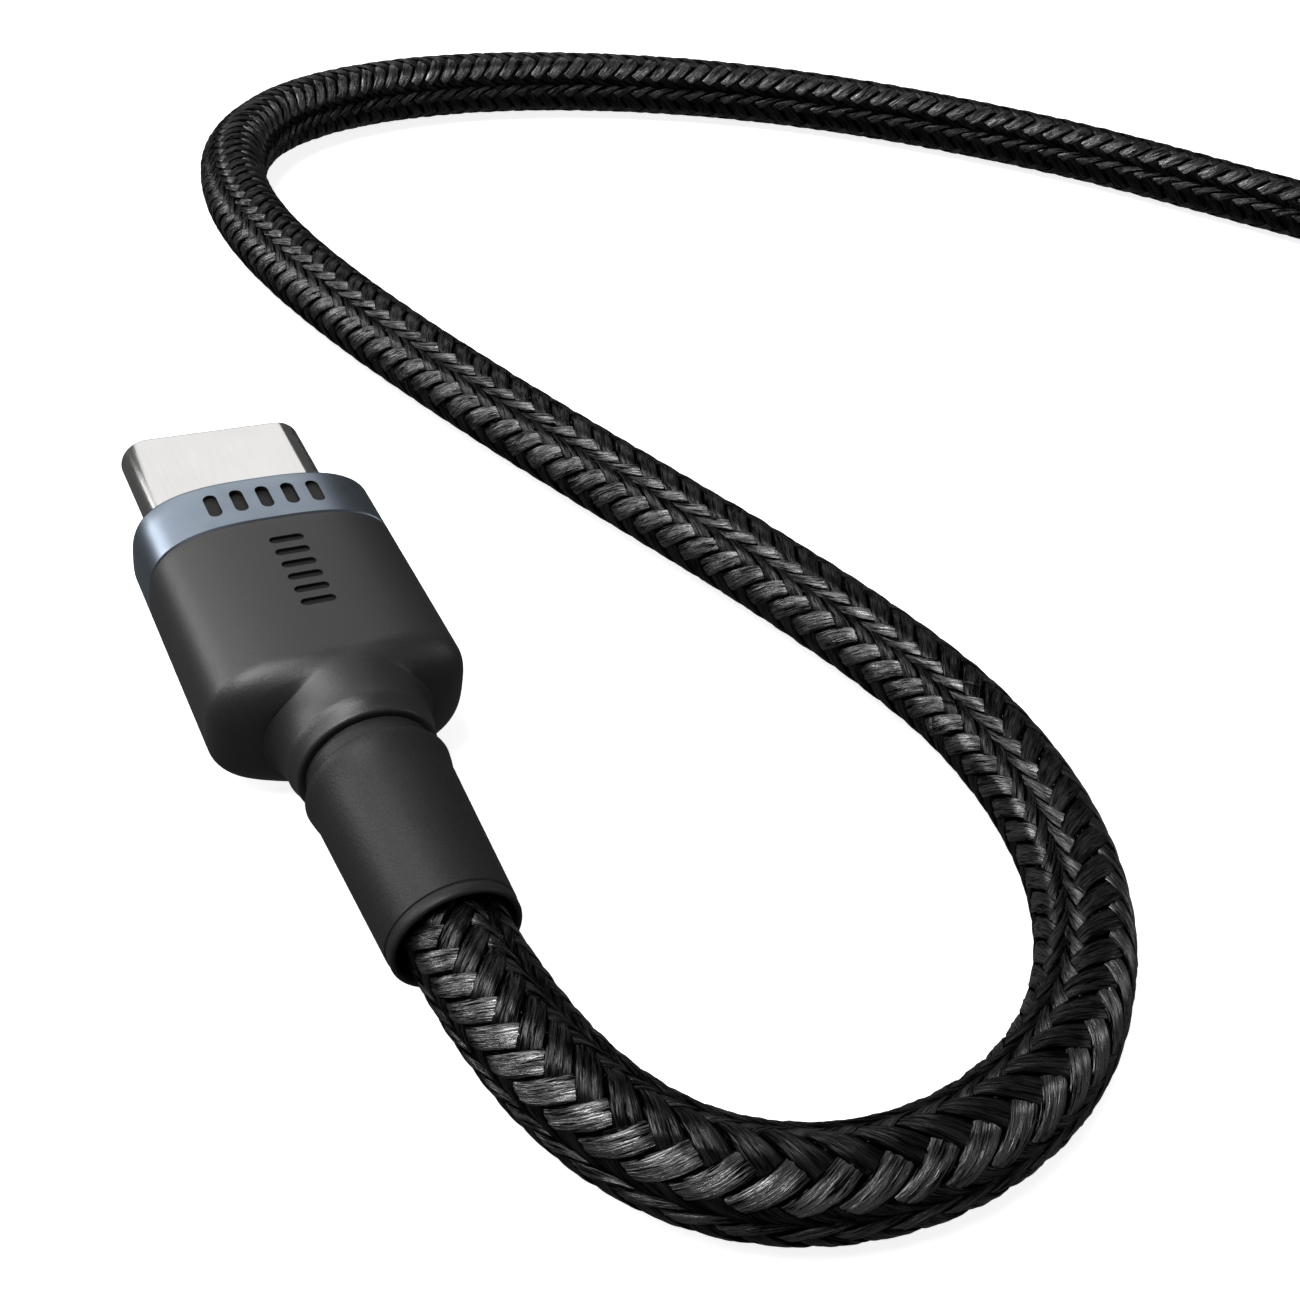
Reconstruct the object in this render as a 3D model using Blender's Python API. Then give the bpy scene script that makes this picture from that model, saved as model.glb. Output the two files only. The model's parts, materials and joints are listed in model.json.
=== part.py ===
"""A braided charging cable with a USB-C plug on each end.

Lengths are in millimetres in the constants and in metres in the scene. The near plug lies flat on
the floor with its tip towards +Y, and its cord runs in a free loop to a round coil that holds the
rest of the length. The far plug lies beside the coil.

A plug has its own axes: u across, v along it towards the tip, w up. Its zero is the middle of the
collar's front face, which is the stop that meets a socket.
"""

import math

import bmesh
import bpy
import numpy as np
from mathutils import Matrix

MM = 0.001
AROUND = 40  # points around a turned or lofted plug piece

# Cord
CORD_D = 4.0
CORD_R = CORD_D / 2
CORD_SIDES = 2  # bevel resolution
ROUTE_STEP = 2.1 * CORD_D
MESH_GAP = 0.3

# Metal shell and what it holds
SHELL_A, SHELL_B, SHELL_WALL = 4.125, 1.2, 0.26
SHELL_TIP, SHELL_REAR = 6.65, -3.6
HOUSING_A, HOUSING_B = 3.83, 0.82
HOUSING_TIP, HOUSING_REAR = 6.3, 0.0
SLOT_A, SLOT_B = 3.05, 0.5
CHANNEL_A, CHANNEL_B = 3.62, 0.36
CONTACTS = 12
CONTACT_PITCH, CONTACT_W, CONTACT_T = 0.5, 0.24, 0.12
GROOVE_W, GROOVE_TOP = 0.3, 0.72
WAFER_A, WAFER_B, WAFER_REAR = 3.1, 0.36, -2.4
LATCH_T, LATCH_B = 0.18, 0.3
LATCH_PIVOT = (3.36, -0.2)
SPRING_A, SPRING_LOW, SPRING_T = 2.5, 0.84, 0.08

# Circuit card, covers and wires
CARD_A, CARD_B, CARD_FRONT, CARD_REAR = 3.6, 0.35, -2.5, -9.2
COVER_A, COVER_B, COVER_T = 3.75, 1.15, 0.15
COVER_FRONT, COVER_REAR = -4.0, -9.9
CABLE_END = -12.1

# Collar, body and sleeve
BODY_A, BODY_B, BODY_N = 5.27, 3.2, 2.9
COLLAR_REAR = -3.0
CAVITY_A, CAVITY_B, CAVITY_R = 4.45, 2.3, 0.8
CAVITY_REAR = -10.75
SHOULDER_V, SHOULDER_LENGTH = -11.15, 1.55
SHOULDER_DROP_A, SHOULDER_DROP_B = 2.45, 1.7
NECK_R, NECK_END_R, NECK_REAR = 3.0, 2.9, -15.05
NECK_BORE = 2.35
GROOVE_REAR, GROOVE_R = -15.5, 2.65  # the ring-shaped groove between the neck and the sleeve
SLEEVE_FRONT_R, SLEEVE_R, SLEEVE_REAR_R, SLEEVE_BORE = 2.9, 2.76, 2.5, 2.1
SLEEVE_REAR = -24.0
SPIGOT_FRONT, SPIGOT_R = -13.2, 2.28
FERRULE_R, FERRULE_BORE = 2.28, 2.08
FERRULE_FRONT, FERRULE_REAR = -11.0, -13.0

# Coil of the rest of the cord, and its tie
COIL_CENTRE = (91.0, -18.7)
TURN_R_OUT, TURN_R_IN = 27.0, 19.0
LAYER_RISE = 3.5
TIE_T, TIE_GAP = 0.8, 0.1
TIE_ANGLE, TIE_SWEEP = 200.0, 22.0
COIL_INNER, COIL_OUTER = TURN_R_IN - CORD_R, TURN_R_OUT + CORD_R
FLOOR_GAP = 0.03
COIL_LEAN = (TIE_T + TIE_GAP) / (COIL_INNER + COIL_OUTER)  # the slope from the floor up onto the tie
COIL_SEGMENTS = 44
COIL_ENTRY_ANGLE = 45.8
COIL_EXIT_ANGLE = -24.0
EXIT_R = TURN_R_OUT + CORD_D + MESH_GAP + 0.05
FAR_LEAD = 9.0

# The near plug stands with the middle of its length over the origin
PLUG_HEIGHT = BODY_B
NEAR_V0 = -(SHELL_TIP + SLEEVE_REAR) / 2

# Where the cord runs between the near plug and the coil: x, y, z of its middle
ROUTE = [
    (0.3, -18.3, 3.1),
    (1.2, -21.6, 2.75),
    (3.9, -25.6, 2.3),
    (8.5, -28.0, 2.08),
    (13.4, -28.3, 2.03),
    (18.1, -26.9, 2.03),
    (22.1, -23.8, 2.03),
    (24.8, -19.5, 2.03),
    (26.0, -14.6, 2.03),
    (25.9, -9.7, 2.03),
    (24.6, -4.6, 2.03),
    (21.0, 4.4, 2.03),
    (16.9, 13.4, 2.03),
    (13.1, 22.6, 2.03),
    (10.0, 32.4, 2.03),
    (9.1, 41.2, 2.03),
    (10.6, 47.1, 2.03),
    (14.0, 51.3, 2.03),
    (19.9, 54.3, 2.03),
    (27.2, 55.6, 2.03),
    (37.4, 55.1, 2.03),
    (47.0, 52.8, 2.03),
    (56.1, 49.0, 2.03),
    (64.5, 44.0, 2.03),
    (72.5, 38.0, 2.03),
    (79.8, 31.1, 2.03),
    (88.0, 23.3, 2.03),
    (96.0, 15.3, 2.05),
    (103.6, 7.8, 2.08),
]


def material(name, colour, roughness, metallic=0.0):
    made = bpy.data.materials.new(name)
    made.use_nodes = True
    shader = made.node_tree.nodes["Principled BSDF"]
    shader.inputs["Base Color"].default_value = (*colour, 1.0)
    shader.inputs["Roughness"].default_value = roughness
    shader.inputs["Metallic"].default_value = metallic
    made.diffuse_color = (*colour, 1.0)
    return made


def add_mesh(name, corners, faces, finish, parent=None, origin=(0.0, 0.0, 0.0)):
    """A mesh object whose corners are in millimetres, and whose origin is at origin."""
    mesh = bpy.data.meshes.new(name)
    moved = [tuple((c - o) * MM for c, o in zip(corner, origin)) for corner in corners]
    mesh.from_pydata(moved, [], faces)
    surface = bmesh.new()
    surface.from_mesh(mesh)
    bmesh.ops.recalc_face_normals(surface, faces=surface.faces)
    surface.to_mesh(mesh)
    surface.free()
    mesh.shade_smooth()
    mesh.set_sharp_from_angle(angle=math.radians(32))
    mesh.materials.append(finish)
    made = bpy.data.objects.new(name, mesh)
    made.location = [o * MM for o in origin]
    made.parent = parent
    bpy.context.scene.collection.objects.link(made)
    return made


def add_tube(name, points, radius, sides, finish, parent=None):
    """A round wire or cord along points, which are in millimetres."""
    curve = bpy.data.curves.new(name, "CURVE")
    curve.dimensions = "3D"
    spline = curve.splines.new("POLY")
    spline.points.add(len(points) - 1)
    for place, point in zip(spline.points, points):
        place.co = (point[0] * MM, point[1] * MM, point[2] * MM, 1.0)
    curve.bevel_depth = radius * MM
    curve.bevel_resolution = sides
    curve.use_fill_caps = True
    curve.materials.append(finish)
    made = bpy.data.objects.new(name, curve)
    made.parent = parent
    bpy.context.scene.collection.objects.link(made)
    return made


def round_corner_section(a, b, radius):
    """A rectangle of half-sides a and b whose corners have this radius, as AROUND points."""
    points = []
    per_corner = AROUND // 4
    for corner, (side, top) in enumerate(((1, 1), (-1, 1), (-1, -1), (1, -1))):
        for i in range(per_corner):
            turn = math.radians(90 * (corner + i / (per_corner - 1)))
            points.append((side * (a - radius) + radius * math.cos(turn),
                           top * (b - radius) + radius * math.sin(turn)))
    return points


def circle_section(radius):
    return crowned_section(radius, radius, 2.0)


def crowned_section(a, b, power):
    """A superellipse: a rectangle with crowned sides and soft corners."""
    points = []
    for i in range(AROUND):
        turn = 2 * math.pi * (i + 0.5) / AROUND
        across, up = math.cos(turn), math.sin(turn)
        points.append((a * math.copysign(abs(across) ** (2 / power), across),
                       b * math.copysign(abs(up) ** (2 / power), up)))
    return points


def loft(name, stations, finish, parent, hollow=False):
    """Skins sections at their v. A hollow loft returns to its first section, as a pipe's wall does."""
    count = len(stations[0][1])
    corners = [(u, v, w) for v, section in stations for u, w in section]
    faces = []
    rings = len(stations)
    for ring in range(rings if hollow else rings - 1):
        low, high = ring * count, ((ring + 1) % rings) * count
        for i in range(count):
            j = (i + 1) % count
            faces.append((low + i, low + j, high + j, high + i))
    if not hollow:
        faces.append(tuple(range(count)))
        faces.append(tuple(range((rings - 1) * count, rings * count)))
    return add_mesh(name, corners, faces, finish, parent)


def sheet(name, us, vs, kept, height, thickness, finish, parent):
    """A plate cut from a grid: cell (i, j) stays where kept(i, j), and its underside is at height(v)."""
    index = {}
    corners = []
    faces = []

    def corner(i, j, level):
        key = (i, j, level)
        if key not in index:
            index[key] = len(corners)
            corners.append((us[i], vs[j], height(vs[j]) + level * thickness))
        return index[key]

    cells = [(i, j) for i in range(len(us) - 1) for j in range(len(vs) - 1) if kept(i, j)]
    for i, j in cells:
        for level in (0, 1):
            faces.append([corner(i, j, level), corner(i + 1, j, level),
                          corner(i + 1, j + 1, level), corner(i, j + 1, level)])
        for (di, dj), (a, b) in (((-1, 0), ((0, 0), (0, 1))), ((1, 0), ((1, 0), (1, 1))),
                                 ((0, -1), ((0, 0), (1, 0))), ((0, 1), ((0, 1), (1, 1)))):
            if (i + di, j + dj) not in cells:
                faces.append([corner(i + a[0], j + a[1], 0), corner(i + b[0], j + b[1], 0),
                              corner(i + b[0], j + b[1], 1), corner(i + a[0], j + a[1], 1)])
    return add_mesh(name, corners, faces, finish, parent)


def ribbon(points, thickness):
    """The outline of a bent strip: its middle line moved half its thickness to each side."""
    sides = []
    for i, point in enumerate(points):
        before, after = points[max(i - 1, 0)], points[min(i + 1, len(points) - 1)]
        along = (after[0] - before[0], after[1] - before[1])
        length = math.hypot(*along)
        off = (-along[1] / length * thickness / 2, along[0] / length * thickness / 2)
        sides.append(((point[0] + off[0], point[1] + off[1]), (point[0] - off[0], point[1] - off[1])))
    return sides


def bent_strip(name, points, thickness, low, high, to_corner, finish, parent, origin=(0.0, 0.0, 0.0)):
    """A strip bent in one plane and low to high across it; to_corner puts a point of it in space."""
    corners = []
    faces = []
    sides = ribbon(points, thickness)
    for left, right in sides:
        corners += [to_corner(left, low), to_corner(right, low), to_corner(right, high), to_corner(left, high)]
    for i in range(len(sides) - 1):
        a, b = 4 * i, 4 * i + 4
        faces += [(a + k, a + (k + 1) % 4, b + (k + 1) % 4, b + k) for k in range(4)]
    last = 4 * (len(sides) - 1)
    faces += [(0, 1, 2, 3), (last, last + 1, last + 2, last + 3)]
    return add_mesh(name, corners, faces, finish, parent, origin)


def extruded(name, outline, hole, v_low, v_high, finish, parent):
    """A profile in u and w with a hole through it, extruded along v."""
    curve = bpy.data.curves.new(name, "CURVE")
    curve.dimensions = "2D"
    curve.fill_mode = "BOTH"
    curve.extrude = (v_high - v_low) / 2 * MM
    for loop in (outline, hole):
        spline = curve.splines.new("POLY")
        spline.points.add(len(loop) - 1)
        for place, (u, w) in zip(spline.points, loop):
            place.co = (u * MM, w * MM, 0.0, 1.0)
        spline.use_cyclic_u = True
    curve.materials.append(finish)
    made = bpy.data.objects.new(name, curve)
    made.location = (0.0, (v_low + v_high) / 2 * MM, 0.0)
    made.rotation_euler = (math.radians(90), 0.0, 0.0)
    made.parent = parent
    bpy.context.scene.collection.objects.link(made)
    return made


def make_shell(side, looks, parent):
    inner_a, inner_b = SHELL_A - SHELL_WALL, SHELL_B - SHELL_WALL
    steps = (
        (SHELL_REAR, inner_a, inner_b),
        (SHELL_TIP - 0.2, inner_a, inner_b),
        (SHELL_TIP, inner_a + 0.08, inner_b + 0.08),
        (SHELL_TIP, SHELL_A - 0.09, SHELL_B - 0.09),
        (SHELL_TIP - 0.1, SHELL_A - 0.02, SHELL_B - 0.02),
        (SHELL_TIP - 0.22, SHELL_A, SHELL_B),
        (SHELL_REAR, SHELL_A, SHELL_B),
    )
    stations = [(v, round_corner_section(a, b, b)) for v, a, b in steps]
    return loft(side + "_shell", stations, looks["steel"], parent, hollow=True)


def contact_places():
    return [(i - (CONTACTS - 1) / 2) * CONTACT_PITCH for i in range(CONTACTS)]


def slot_outline():
    """The tongue's slot, with a groove over and under it for each contact and a latch channel a side."""
    upper = [(CHANNEL_A, CHANNEL_B), (SLOT_A, CHANNEL_B), (SLOT_A, SLOT_B)]
    for place in reversed(contact_places()):
        right, left = place + GROOVE_W / 2, place - GROOVE_W / 2
        upper += [(right, SLOT_B), (right, GROOVE_TOP), (left, GROOVE_TOP), (left, SLOT_B)]
    upper += [(-SLOT_A, SLOT_B), (-SLOT_A, CHANNEL_B), (-CHANNEL_A, CHANNEL_B)]
    return upper + [(-u, -w) for u, w in upper]


def make_housing(side, looks, parent):
    outline = round_corner_section(HOUSING_A, HOUSING_B, HOUSING_B)
    return extruded(side + "_contact_housing", outline, slot_outline(), HOUSING_REAR, HOUSING_TIP,
                    looks["black plastic"], parent)


def make_wafer(side, looks, parent):
    section = round_corner_section(WAFER_A, WAFER_B, 0.1)
    stations = [(HOUSING_REAR - 0.05, section), (WAFER_REAR, section)]
    return loft(side + "_contact_wafer", stations, looks["black plastic"], parent)


def contact_height(v):
    """Where an upper contact's underside is: flat on the card, up into its groove, and down to touch."""
    places = (-3.5, -0.1, 0.9, 3.4, 4.6, 5.3)
    heights = (0.38, 0.38, 0.56, 0.54, 0.3, 0.44)
    return float(np.interp(v, places, heights))


def make_contacts(side, looks, parent):
    us = []
    for place in contact_places():
        us += [place - CONTACT_W / 2, place + CONTACT_W / 2]
    vs = [-3.5, -1.4, -0.8, -0.1, 0.9, 3.4, 4.6, 5.3]
    web = 1  # the cells between vs[1] and vs[2] join the row

    def kept(i, j):
        return i % 2 == 0 or j == web

    sheet(side + "_upper_contacts", us, vs, kept, contact_height, CONTACT_T, looks["gold"], parent)
    sheet(side + "_lower_contacts", us, vs, kept, lambda v: -contact_height(v), -CONTACT_T,
          looks["gold"], parent)


def make_latches(side, looks, parent):
    """Side springs that click into the socket's tongue. Each turns outwards about its root."""
    line = ((3.36, -1.3), (3.36, 0.6), (3.22, 4.5), (2.98, 5.15), (3.14, 5.85))
    for word, sign in (("left", -1), ("right", 1)):
        points = [(sign * u, v) for u, v in line]
        bent_strip(side + "_" + word + "_latch", points, LATCH_T, -LATCH_B, LATCH_B,
                   lambda p, w: (p[0], p[1], w), looks["steel"], parent,
                   origin=(sign * LATCH_PIVOT[0], LATCH_PIVOT[1], 0.0))


def make_ground_springs(side, looks, parent):
    """Thin combs between the shell and the housing, which join the two shells electrically."""
    us = [-SPRING_A, -1.7, -1.3, -0.5, 0.5, 1.3, 1.7, SPRING_A]
    vs = [0.8, 2.0, 5.2, 6.1]

    def kept(i, j):
        return i % 2 == 0 or j != 1

    sheet(side + "_upper_ground_spring", us, vs, kept, lambda v: SPRING_LOW, SPRING_T,
          looks["steel"], parent)
    sheet(side + "_lower_ground_spring", us, vs, kept, lambda v: -SPRING_LOW, -SPRING_T,
          looks["steel"], parent)


def block(name, centre, half, radius, finish, parent):
    """A small block with rounded upright edges, such as a chip."""
    section = round_corner_section(half[0], half[2], radius)
    every_third = [point for i, point in enumerate(section) if i % (AROUND // 4) % 3 == 0]
    moved = [(u + centre[0], w + centre[2]) for u, w in every_third]
    stations = [(centre[1] - half[1], moved), (centre[1] + half[1], moved)]
    return loft(name, stations, finish, parent)


def make_card(side, looks, parent):
    block(side + "_paddle_card", (0, (CARD_FRONT + CARD_REAR) / 2, 0),
          (CARD_A, (CARD_FRONT - CARD_REAR) / 2, CARD_B), 0.1, looks["green board"], parent)
    block(side + "_marker_chip", (0.6, -5.6, 0.64), (1.0, 1.0, 0.26), 0.06, looks["black plastic"], parent)
    block(side + "_capacitor", (-1.8, -5.3, 0.56), (0.5, 0.25, 0.18), 0.05, looks["ceramic"], parent)


def make_covers(side, looks, parent):
    """Two steel covers over the card, which meet along its edges."""
    edge, soft = 0.03, 0.35
    line = [(-COVER_A, edge), (-COVER_A, COVER_B - soft)]
    for i in range(1, 4):
        turn = math.radians(180 - 22.5 * i)
        line.append((-COVER_A + soft + soft * math.cos(turn), COVER_B - soft + soft * math.sin(turn)))
    line.append((-COVER_A + soft, COVER_B))
    line += [(-u, w) for u, w in reversed(line)]
    for word, sign in (("upper", 1), ("lower", -1)):
        points = [(u, sign * w) for u, w in line]
        bent_strip(side + "_" + word + "_shield_cover", points, COVER_T, COVER_REAR, COVER_FRONT,
                   lambda p, v: (p[0], v, p[1]), looks["steel"], parent)


def make_inner_mould(side, looks, parent):
    outer = round_corner_section(CAVITY_A - 0.05, CAVITY_B - 0.05, CAVITY_R)
    shell_hole = round_corner_section(SHELL_A + 0.04, SHELL_B + 0.04, SHELL_B + 0.04)
    cover_hole = round_corner_section(COVER_A + COVER_T + 0.06, COVER_B + COVER_T + 0.06, 0.3)
    front, rear = -0.85, CAVITY_REAR + 0.05
    stations = [(front, outer), (rear, outer), (rear, cover_hole), (COVER_FRONT + 0.15, cover_hole),
                (SHELL_REAR - 0.02, shell_hole), (front, shell_hole)]
    return loft(side + "_inner_mould", stations, looks["white plastic"], parent, hollow=True)


def make_wires(side, looks, parent):
    """Five cores, from the end of the cord's jacket to the solder pads at the back of the card."""
    cores = (
        ("power", 0.33, (0.85, 0.55), (2.6, 0.7), "red plastic"),
        ("ground", 0.33, (-0.85, 0.55), (-2.6, 0.7), "black plastic"),
        ("configuration", 0.28, (0.95, -0.6), (1.9, -0.65), "blue plastic"),
        ("data_plus", 0.28, (0.0, -1.0), (0.0, -0.65), "green plastic"),
        ("data_minus", 0.28, (-0.95, -0.6), (-1.9, -0.65), "white plastic"),
    )
    for name, radius, start, pad, colour in cores:
        points = []
        for i in range(7):
            part = i / 6
            ease = part * part * (3 - 2 * part)
            points.append((start[0] + (pad[0] - start[0]) * ease,
                           CABLE_END + 0.2 + (4.2 * part),
                           start[1] + (pad[1] - start[1]) * ease))
        add_tube(side + "_" + name + "_wire", points, radius, 1, looks[colour], parent)


def make_collar(side, looks, parent):
    outer = crowned_section(BODY_A, BODY_B, BODY_N)
    hole = round_corner_section(SHELL_A + 0.05, SHELL_B + 0.05, SHELL_B + 0.05)
    cavity = round_corner_section(CAVITY_A, CAVITY_B, CAVITY_R)
    edge = crowned_section(BODY_A - 0.15, BODY_B - 0.15, BODY_N)
    face = -0.8
    stations = [(0.0, edge), (-0.15, outer), (COLLAR_REAR, outer), (COLLAR_REAR, cavity), (face, cavity),
                (face, hole), (0.0, hole)]
    return loft(side + "_collar", stations, looks["blue anodised"], parent, hollow=True)


def body_section(a, b, neck):
    """The body's outline where its shoulder and its round neck run into each other."""
    blend = 6.0
    points = []
    for i in range(AROUND):
        turn = 2 * math.pi * (i + 0.5) / AROUND
        across, up = abs(math.cos(turn)), abs(math.sin(turn))
        across, up = across ** (2 / BODY_N) * BODY_A, up ** (2 / BODY_N) * BODY_B
        size = math.hypot(across, up)
        across, up = across / size, up / size
        pillow = ((across / a) ** BODY_N + (up / b) ** BODY_N) ** (-1 / BODY_N)
        reach = (pillow ** blend + neck ** blend) ** (1 / blend)
        reach = max(pillow, neck) + (reach - max(pillow, neck)) * min(1.0, (BODY_A - a) / 0.8)
        points.append((math.copysign(across * reach, math.cos(turn)),
                       math.copysign(up * reach, math.sin(turn))))
    return points


def make_body(side, looks, parent):
    outer = crowned_section(BODY_A, BODY_B, BODY_N)
    stations = [(COLLAR_REAR - 0.05, outer), (-7.0, outer), (SHOULDER_V, outer)]
    for i in range(1, 8):
        turn = math.radians(90 * i / 7)
        a = BODY_A - SHOULDER_DROP_A * (1 - math.cos(turn))
        b = BODY_B - SHOULDER_DROP_B * (1 - math.cos(turn))
        stations.append((SHOULDER_V - SHOULDER_LENGTH * math.sin(turn), body_section(a, b, NECK_R)))
    cavity = round_corner_section(CAVITY_A, CAVITY_B, CAVITY_R)
    bore = circle_section(NECK_BORE)
    stations += [(NECK_REAR + 1.2, circle_section(NECK_R)), (NECK_REAR, circle_section(NECK_END_R)),
                 (NECK_REAR, bore), (CAVITY_REAR, bore), (CAVITY_REAR, cavity),
                 (COLLAR_REAR - 0.05, cavity)]
    return loft(side + "_body", stations, looks["dark moulding"], parent, hollow=True)


def make_sleeve(side, looks, parent):
    steps = (
        (SPIGOT_FRONT, SPIGOT_R),
        (NECK_REAR - 0.05, SPIGOT_R),
        (NECK_REAR - 0.05, GROOVE_R),
        (GROOVE_REAR, GROOVE_R),
        (GROOVE_REAR, SLEEVE_FRONT_R),
        (GROOVE_REAR - 0.9, SLEEVE_R),
        (SLEEVE_REAR + 0.6, SLEEVE_REAR_R),
        (SLEEVE_REAR + 0.2, SLEEVE_REAR_R - 0.06),
        (SLEEVE_REAR, SLEEVE_REAR_R - 0.2),
        (SLEEVE_REAR + 0.05, SLEEVE_BORE + 0.06),
        (SLEEVE_REAR + 1.5, SLEEVE_BORE),
        (SPIGOT_FRONT, SLEEVE_BORE),
    )
    stations = [(v, circle_section(radius)) for v, radius in steps]
    return loft(side + "_strain_relief", stations, looks["dark moulding"], parent, hollow=True)


def make_ferrule(side, looks, parent):
    steps = ((FERRULE_FRONT, FERRULE_BORE), (FERRULE_FRONT, FERRULE_R), (FERRULE_REAR, FERRULE_R),
             (FERRULE_REAR, FERRULE_BORE))
    stations = [(v, circle_section(radius)[::2]) for v, radius in steps]
    return loft(side + "_crimp_ferrule", stations, looks["steel"], parent, hollow=True)


def make_plug(side, looks, place):
    """A whole plug on an empty, so that the empty alone says where the plug lies."""
    frame = bpy.data.objects.new(side + "_plug", None)
    frame.matrix_world = place
    bpy.context.scene.collection.objects.link(frame)
    for make in (make_shell, make_housing, make_wafer, make_contacts, make_latches, make_ground_springs,
                 make_card, make_covers, make_inner_mould, make_wires, make_collar, make_body,
                 make_sleeve, make_ferrule):
        make(side, looks, frame)


def smooth_curve(points, step):
    """Points a step apart on the natural cubic curve through points, with its ends kept."""
    points = np.array(points, float)
    spans = np.linalg.norm(np.diff(points, axis=0), axis=1)
    knots = np.concatenate([[0.0], np.cumsum(spans)])
    count = len(points)
    matrix = np.eye(count)
    right = np.zeros((count, 3))
    for i in range(1, count - 1):
        before, after = spans[i - 1], spans[i]
        matrix[i, i - 1:i + 2] = before, 2 * (before + after), after
        right[i] = 6 * ((points[i + 1] - points[i]) / after - (points[i] - points[i - 1]) / before)
    bends = np.linalg.solve(matrix, right)
    samples = np.linspace(0.0, knots[-1], 20 * count)
    span = np.clip(np.searchsorted(knots, samples, side="right") - 1, 0, count - 2)
    h = spans[span][:, None]
    a = (knots[span + 1] - samples)[:, None]
    b = (samples - knots[span])[:, None]
    fine = (bends[span] * a ** 3 + bends[span + 1] * b ** 3) / (6 * h)
    fine += (points[span] / h - bends[span] * h / 6) * a
    fine += (points[span + 1] / h - bends[span + 1] * h / 6) * b
    run = np.concatenate([[0.0], np.cumsum(np.linalg.norm(np.diff(fine, axis=0), axis=1))])
    wanted = np.linspace(0.0, run[-1], max(2, round(run[-1] / step) + 1))
    return np.column_stack([np.interp(wanted, run, fine[:, axis]) for axis in range(3)])


def coil_point(angle, radius, height):
    """A point this high over the coil's underside, which leans from the floor up onto its tie."""
    turn = math.radians(angle)
    towards_tie = radius * math.cos(turn - math.radians(TIE_ANGLE))
    underside = FLOOR_GAP + COIL_LEAN * (COIL_OUTER + towards_tie)
    return (COIL_CENTRE[0] + radius * math.cos(turn), COIL_CENTRE[1] + radius * math.sin(turn),
            underside + height)


def make_near_cord(looks):
    """The free stretch: straight to the near plug's mouth, then along the route to the coil's edge."""
    start = (0.0, NEAR_V0 + CABLE_END, PLUG_HEIGHT)
    mouth = (0.0, NEAR_V0 + SLEEVE_REAR - MESH_GAP, PLUG_HEIGHT)
    entry = coil_point(COIL_ENTRY_ANGLE, TURN_R_OUT, CORD_R)
    points = smooth_curve([mouth] + ROUTE + [entry], ROUTE_STEP)
    clear = TURN_R_OUT + CORD_R + CORD_R + MESH_GAP
    away = np.hypot(points[:, 0] - COIL_CENTRE[0], points[:, 1] - COIL_CENTRE[1])
    add_tube("cord", [start, *points[away > clear]], CORD_R, CORD_SIDES, looks["braid"])


def make_coil(looks):
    """The outer shape of five turns: three side by side and two in the hollows on top of them."""
    outline = coil_outline(0.0, LAYER_RISE + CORD_D, COIL_INNER, COIL_OUTER, 0.7)
    corners = []
    faces = []
    for step in range(COIL_SEGMENTS):
        angle = 360 * step / COIL_SEGMENTS
        corners += [coil_point(angle, radius, height) for radius, height in outline]
    count = len(outline)
    for step in range(COIL_SEGMENTS):
        here, there = step * count, (step + 1) % COIL_SEGMENTS * count
        for i in range(count):
            j = (i + 1) % count
            faces.append((here + i, here + j, there + j, there + i))
    add_mesh("cord_coil", corners, faces, looks["braid"])


def coil_outline(low, high, inner, outer, soft):
    """The coil's cross-section as radius and height: upright sides, then leaning in to the top layer."""
    waist = low + CORD_D * 0.6
    lean = CORD_R
    return [
        (inner, low + soft), (inner + soft, low), (outer - soft, low), (outer, low + soft),
        (outer, waist), (outer - lean, high - soft), (outer - lean - soft, high),
        (inner + lean + soft, high), (inner + lean, high - soft), (inner, waist),
    ]


def make_tie(looks):
    """A strap of hook and loop round the coil's section, with its tail doubled on the outer side."""
    top = LAYER_RISE + CORD_D
    inside = coil_outline(-TIE_GAP, top + TIE_GAP, COIL_INNER - TIE_GAP, COIL_OUTER + TIE_GAP, 0.7)
    whole = TIE_GAP + TIE_T
    outside = coil_outline(-whole, top + whole, COIL_INNER - whole, COIL_OUTER + whole, 1.0)
    tail = (4, 5, 6)  # the outline's points on the outer side, where the strap lies double
    outside = [(r + TIE_T * (i in tail), z + TIE_T * (i in tail[1:])) for i, (r, z) in enumerate(outside)]
    steps = 8
    corners = []
    faces = []
    count = len(inside)
    for step in range(steps + 1):
        angle = TIE_ANGLE + TIE_SWEEP * (step / steps - 0.5)
        corners += [coil_point(angle, radius, height) for radius, height in outside + inside]
    for step in range(steps):
        here, there = step * 2 * count, (step + 1) * 2 * count
        for shift in (0, count):
            for i in range(count):
                j = (i + 1) % count
                faces.append((here + shift + i, here + shift + j, there + shift + j, there + shift + i))
    for end in (0, steps * 2 * count):
        for i in range(count):
            j = (i + 1) % count
            faces.append((end + i, end + j, end + count + j, end + count + i))
    add_mesh("cord_tie", corners, faces, looks["strap"])


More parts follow.
